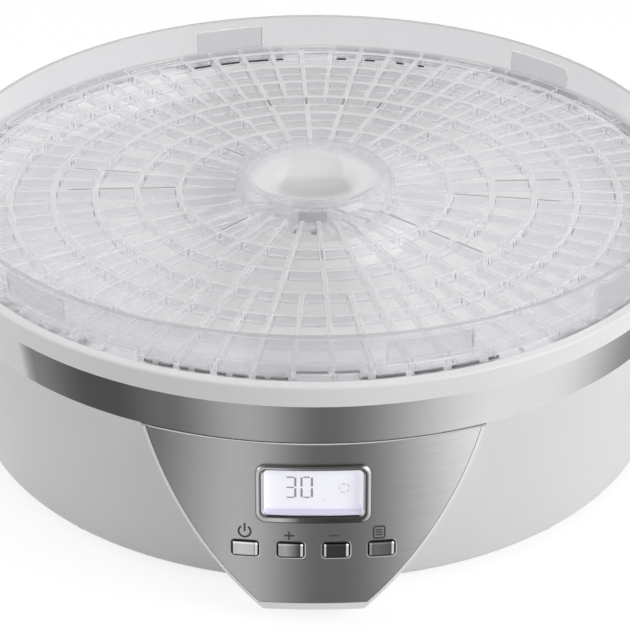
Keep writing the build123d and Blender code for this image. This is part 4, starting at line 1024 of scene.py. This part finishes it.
def strokes(name, lines, place, low, high, material):
    """Flat strokes of a given width along lines of points, as thin solids."""
    points = []
    faces = []
    for width, closed, line in lines:
        count = len(line)
        sides = []
        for index, (x, v) in enumerate(line):
            before = line[index - 1] if closed or index else line[index]
            after = line[(index + 1) % count] if closed or index < count - 1 else line[index]
            dx, dv = after[0] - before[0], after[1] - before[1]
            size = sqrt(dx * dx + dv * dv)
            nx, nv = -dv / size * width / 2, dx / size * width / 2
            sides.append(((x + nx, v + nv), (x - nx, v - nv)))
        pairs = list(zip(range(count), range(1, count)))
        if closed:
            pairs.append((count - 1, 0))
        for first, second in pairs:
            corners = (sides[first][0], sides[first][1], sides[second][1], sides[second][0])
            base = len(points)
            points += [place(x * MM, v * MM, low * MM) for x, v in corners]
            points += [place(x * MM, v * MM, high * MM) for x, v in corners]
            faces += [(base + 3, base + 2, base + 1, base), (base + 4, base + 5, base + 6, base + 7)]
            for step in range(4):
                beyond = (step + 1) % 4
                faces.append((base + step, base + beyond, base + 4 + beyond, base + 4 + step))
    return piece(name, (points, faces), material, sharp=20)


def arc(cx, cv, radius, start, end, steps):
    """Points on part of a circle."""
    turns = [radians(start + (end - start) * step / steps) for step in range(steps + 1)]
    return [(cx + radius * cos(turn), cv + radius * sin(turn)) for turn in turns]


def bar(width, start, end):
    """One straight stroke."""
    return (width, False, [start, end])


def level_bar(width, left, right, v):
    """One stroke across the panel."""
    return bar(width, (left, v), (right, v))


def icon(name, lines):
    """Printed sign on the panel."""
    strokes(name, lines, panel_point, 0.0, 0.04, ink)


# Icons over the keys, in mm: each one's middle across, and the height of its own middle
power_x, plus_x, minus_x, menu_x = -27.3, -9.62, 8.23, 26.05
power_v, sign_v, menu_v = -38.6, -39.7, -38.85
SIGN_HALF = 1.95
icon(
    "icon_power",
    [
        (0.8, False, arc(power_x, power_v, 2.4, 125, 415, 36)),
        bar(0.78, (power_x, -35.1), (power_x, power_v)),
    ],
)
icon(
    "icon_plus",
    [
        level_bar(0.72, plus_x - SIGN_HALF, plus_x + SIGN_HALF, sign_v),
        bar(0.72, (plus_x, -37.9), (plus_x, -39.34)),
        bar(0.72, (plus_x, -40.06), (plus_x, -41.5)),
    ],
)
icon("icon_minus", [level_bar(0.6, minus_x - SIGN_HALF, minus_x + SIGN_HALF, sign_v)])
box_outline = rounded_outline(2.2, 2.5, 0.8, side_steps=4)
menu_lines = [(0.68, True, [(menu_x + x, menu_v + y) for x, y, _ in box_outline])]
for rise in (1.05, 0.0, -1.05):
    menu_lines.append(level_bar(0.62, menu_x - 1.35, menu_x + 1.35, menu_v + rise))
icon("icon_menu", menu_lines)

# Digits and marks on the display
rows = (-15.9, -20.2, -24.45)
THIN, THICK, FAINT = 0.55, 0.85, 0.3


def display_strokes(name, lines, material):
    """Marks that lie on the front of the display."""
    strokes(name, lines, flat_panel_point, WINDOW_FRONT, WINDOW_FRONT + 0.03, material)


digit_lines = [level_bar(THIN, -10.6, -7.65, row) for row in rows]
for x in (-7.15, -4.7, -0.6):
    digit_lines.append(bar(THICK, (x, rows[0] - 0.1), (x, rows[1] + 0.4)))
    digit_lines.append(bar(THICK, (x, rows[1] - 0.4), (x, rows[2] + 0.1)))
digit_lines += [level_bar(THIN, -3.95, -1.4, row) for row in (rows[0], rows[2])]
display_strokes("display_digits", digit_lines, segment_grey)
mark_lines = [
    (FAINT, False, arc(12.15, -20.4, 1.95, start, start + 50, 8)) for start in range(10, 370, 72)
]
mark_lines += [bar(FAINT, (11.7, -18.9), (12.5, -18.7)), bar(FAINT, (4.1, -25.5), (4.9, -25.4))]
display_strokes("display_marks", mark_lines, segment_pale)

# Strip standing for a painted highlight along the upper edge of the panel's plate, under the steel
# band
plate_turn = degrees(asin(plate_high.x / BAND_FOOT_RADIUS)) - 0.4
edge_highlight_steel = metal("edge_highlight_steel", (0.55, 0.55, 0.56), 0.25).material
curved_strip(
    "panel_top_highlight", [(-plate_turn, plate_turn)], BAND_FOOT_RADIUS, 0.00025,
    BAND_FOOT_Z - 0.0009, BAND_FOOT_Z - 0.0003, edge_highlight_steel, "base",
)

# Round each key: a dark lining inside its hole as painted shade, and the plate's pressed rim, both as
# sections of (growth of the outline, height over the panel) in mm, the rim with its painted reflection
# tones as for the bezel
hole_outline = rounded_outline(5.6, 3.4, 1.5, side_steps=6)
lining_section = ((-0.02, -0.12), (-0.26, -0.12), (-0.26, -1.6), (-0.02, -1.6))
rim_section = (
    (0.0, 0.0, (0.3, 0.1, 0.03, 0.04, 0.06, 0.2, 0.3, 0.5)),
    (0.05, 0.07, (0.5, 0.14, 0.03, 0.05, 0.2, 0.45, 0.5, 0.7)),
    (0.3, 0.07, (0.62, 0.3, 0.05, 0.14, 0.36, 0.6, 0.5, 0.75)),
    (0.42, 0.0, (0.4, 0.3, 0.12, 0.16, 0.3, 0.4, 0.3, 0.5)),
)
rim_reflection_tones = [between(table, turn) for *_, table in rim_section for *_, turn in hole_outline]


def hole_ring(middle, grow, out):
    """Loop round a key's hole, grown by a length and raised over the panel."""
    ring = []
    for x, y, turn in hole_outline:
        x += middle + grow * cos(radians(turn))
        v = KEY_V / MM + y + grow * sin(radians(turn))
        ring.append(panel_point(x * MM, v * MM, out * MM))
    return ring


for key, middle in KEY_MIDDLES.items():
    lining = tube([hole_ring(middle, grow, out) for grow, out in lining_section])
    piece("lining_" + key, lining, gap_shade)
    rim = tube([hole_ring(middle, grow, out) for grow, out, _ in rim_section])
    piece("hole_rim_" + key, rim, chrome, tones=rim_reflection_tones)

# ---------------------------------------------------------------- scene

scene = bpy.context.scene
scene.cycles.max_bounces = 24
scene.cycles.transmission_bounces = 24
scene.cycles.transparent_max_bounces = 64
scene.view_settings.view_transform = "Standard"

camera_data = bpy.data.cameras.new("camera")
camera_data.lens = 116.57
camera_data.sensor_width = 36.0
camera = bpy.data.objects.new("camera", camera_data)
camera.location = (0.0028, AXIS_Y - 0.8311, 0.5168)
camera.rotation_euler = (radians(60.068), 0, radians(0.19))
scene.collection.objects.link(camera)
scene.camera = camera


def area_lamp(name, spot, aim, size, power, size_y=None):
    """Soft box at a spot, pointed at an aim."""
    data = bpy.data.lights.new(name, "AREA")
    data.energy = power
    data.size = size
    if size_y:
        data.shape = "RECTANGLE"
        data.size_y = size_y
    lamp = bpy.data.objects.new(name, data)
    lamp.location = spot
    lamp.rotation_euler = (Vector(aim) - Vector(spot)).to_track_quat("-Z", "Y").to_euler()
    scene.collection.objects.link(lamp)


area_lamp("key_right", (1.2, -0.8, 0.8), (0, 0, 0.08), 0.9, 12.0)
area_lamp("fill_left", (-1.3, 0.0, 0.6), (0, 0, 0.08), 0.8, 4.5)
area_lamp("top_soft", (0, 0.3, 1.5), (0, 0, 0.1), 1.2, 4.0)


def seen_ray(tree):
    """1 for the camera's, glossy and transmission rays, which see the white surroundings."""
    ray = tree.nodes.new("ShaderNodeLightPath")
    value = ray.outputs["Is Camera Ray"]
    for kind in ("Is Glossy Ray", "Is Transmission Ray"):
        either = tree.nodes.new("ShaderNodeMath")
        either.operation = "MAXIMUM"
        tree.links.new(value, either.inputs[0])
        tree.links.new(ray.outputs[kind], either.inputs[1])
        value = either.outputs[0]
    return value


world = bpy.data.worlds.new("world")
scene.world = world
world.use_nodes = True
sky = world.node_tree
back = sky.nodes["Background"]
back.inputs["Color"].default_value = (1, 1, 1, 1)
level = sky.nodes.new("ShaderNodeMapRange")
level.inputs["To Min"].default_value = 0.36
level.inputs["To Max"].default_value = 1.0
sky.links.new(seen_ray(sky), level.inputs["Value"])
sky.links.new(level.outputs["Result"], back.inputs["Strength"])

FLOOR_HALF = 4
floor_mesh = bpy.data.meshes.new("floor")
floor_corners = [(x * FLOOR_HALF, y * FLOOR_HALF, 0) for x, y in ((-1, -1), (1, -1), (1, 1), (-1, 1))]
floor_mesh.from_pydata(floor_corners, [], [(0, 1, 2, 3)])
floor = bpy.data.objects.new("floor", floor_mesh)
scene.collection.objects.link(floor)
floor_material = bpy.data.materials.new("floor")
floor_material.use_nodes = True
ground = floor_material.node_tree
ground.nodes.clear()
output = ground.nodes.new("ShaderNodeOutputMaterial")
lit = ground.nodes.new("ShaderNodeBsdfDiffuse")
lit.inputs["Color"].default_value = (0.25, 0.25, 0.25, 1)
glow = ground.nodes.new("ShaderNodeEmission")
glow.inputs["Color"].default_value = (1, 1, 1, 1)
glow.inputs["Strength"].default_value = 0.82
both = ground.nodes.new("ShaderNodeAddShader")
plain = ground.nodes.new("ShaderNodeBsdfDiffuse")
plain.inputs["Color"].default_value = (0.75, 0.75, 0.75, 1)
pick = ground.nodes.new("ShaderNodeMixShader")
ground.links.new(lit.outputs[0], both.inputs[0])
ground.links.new(glow.outputs[0], both.inputs[1])
ground.links.new(seen_ray(ground), pick.inputs["Fac"])
ground.links.new(plain.outputs[0], pick.inputs[1])
ground.links.new(both.outputs[0], pick.inputs[2])
ground.links.new(pick.outputs[0], output.inputs["Surface"])
floor_mesh.materials.append(floor_material)
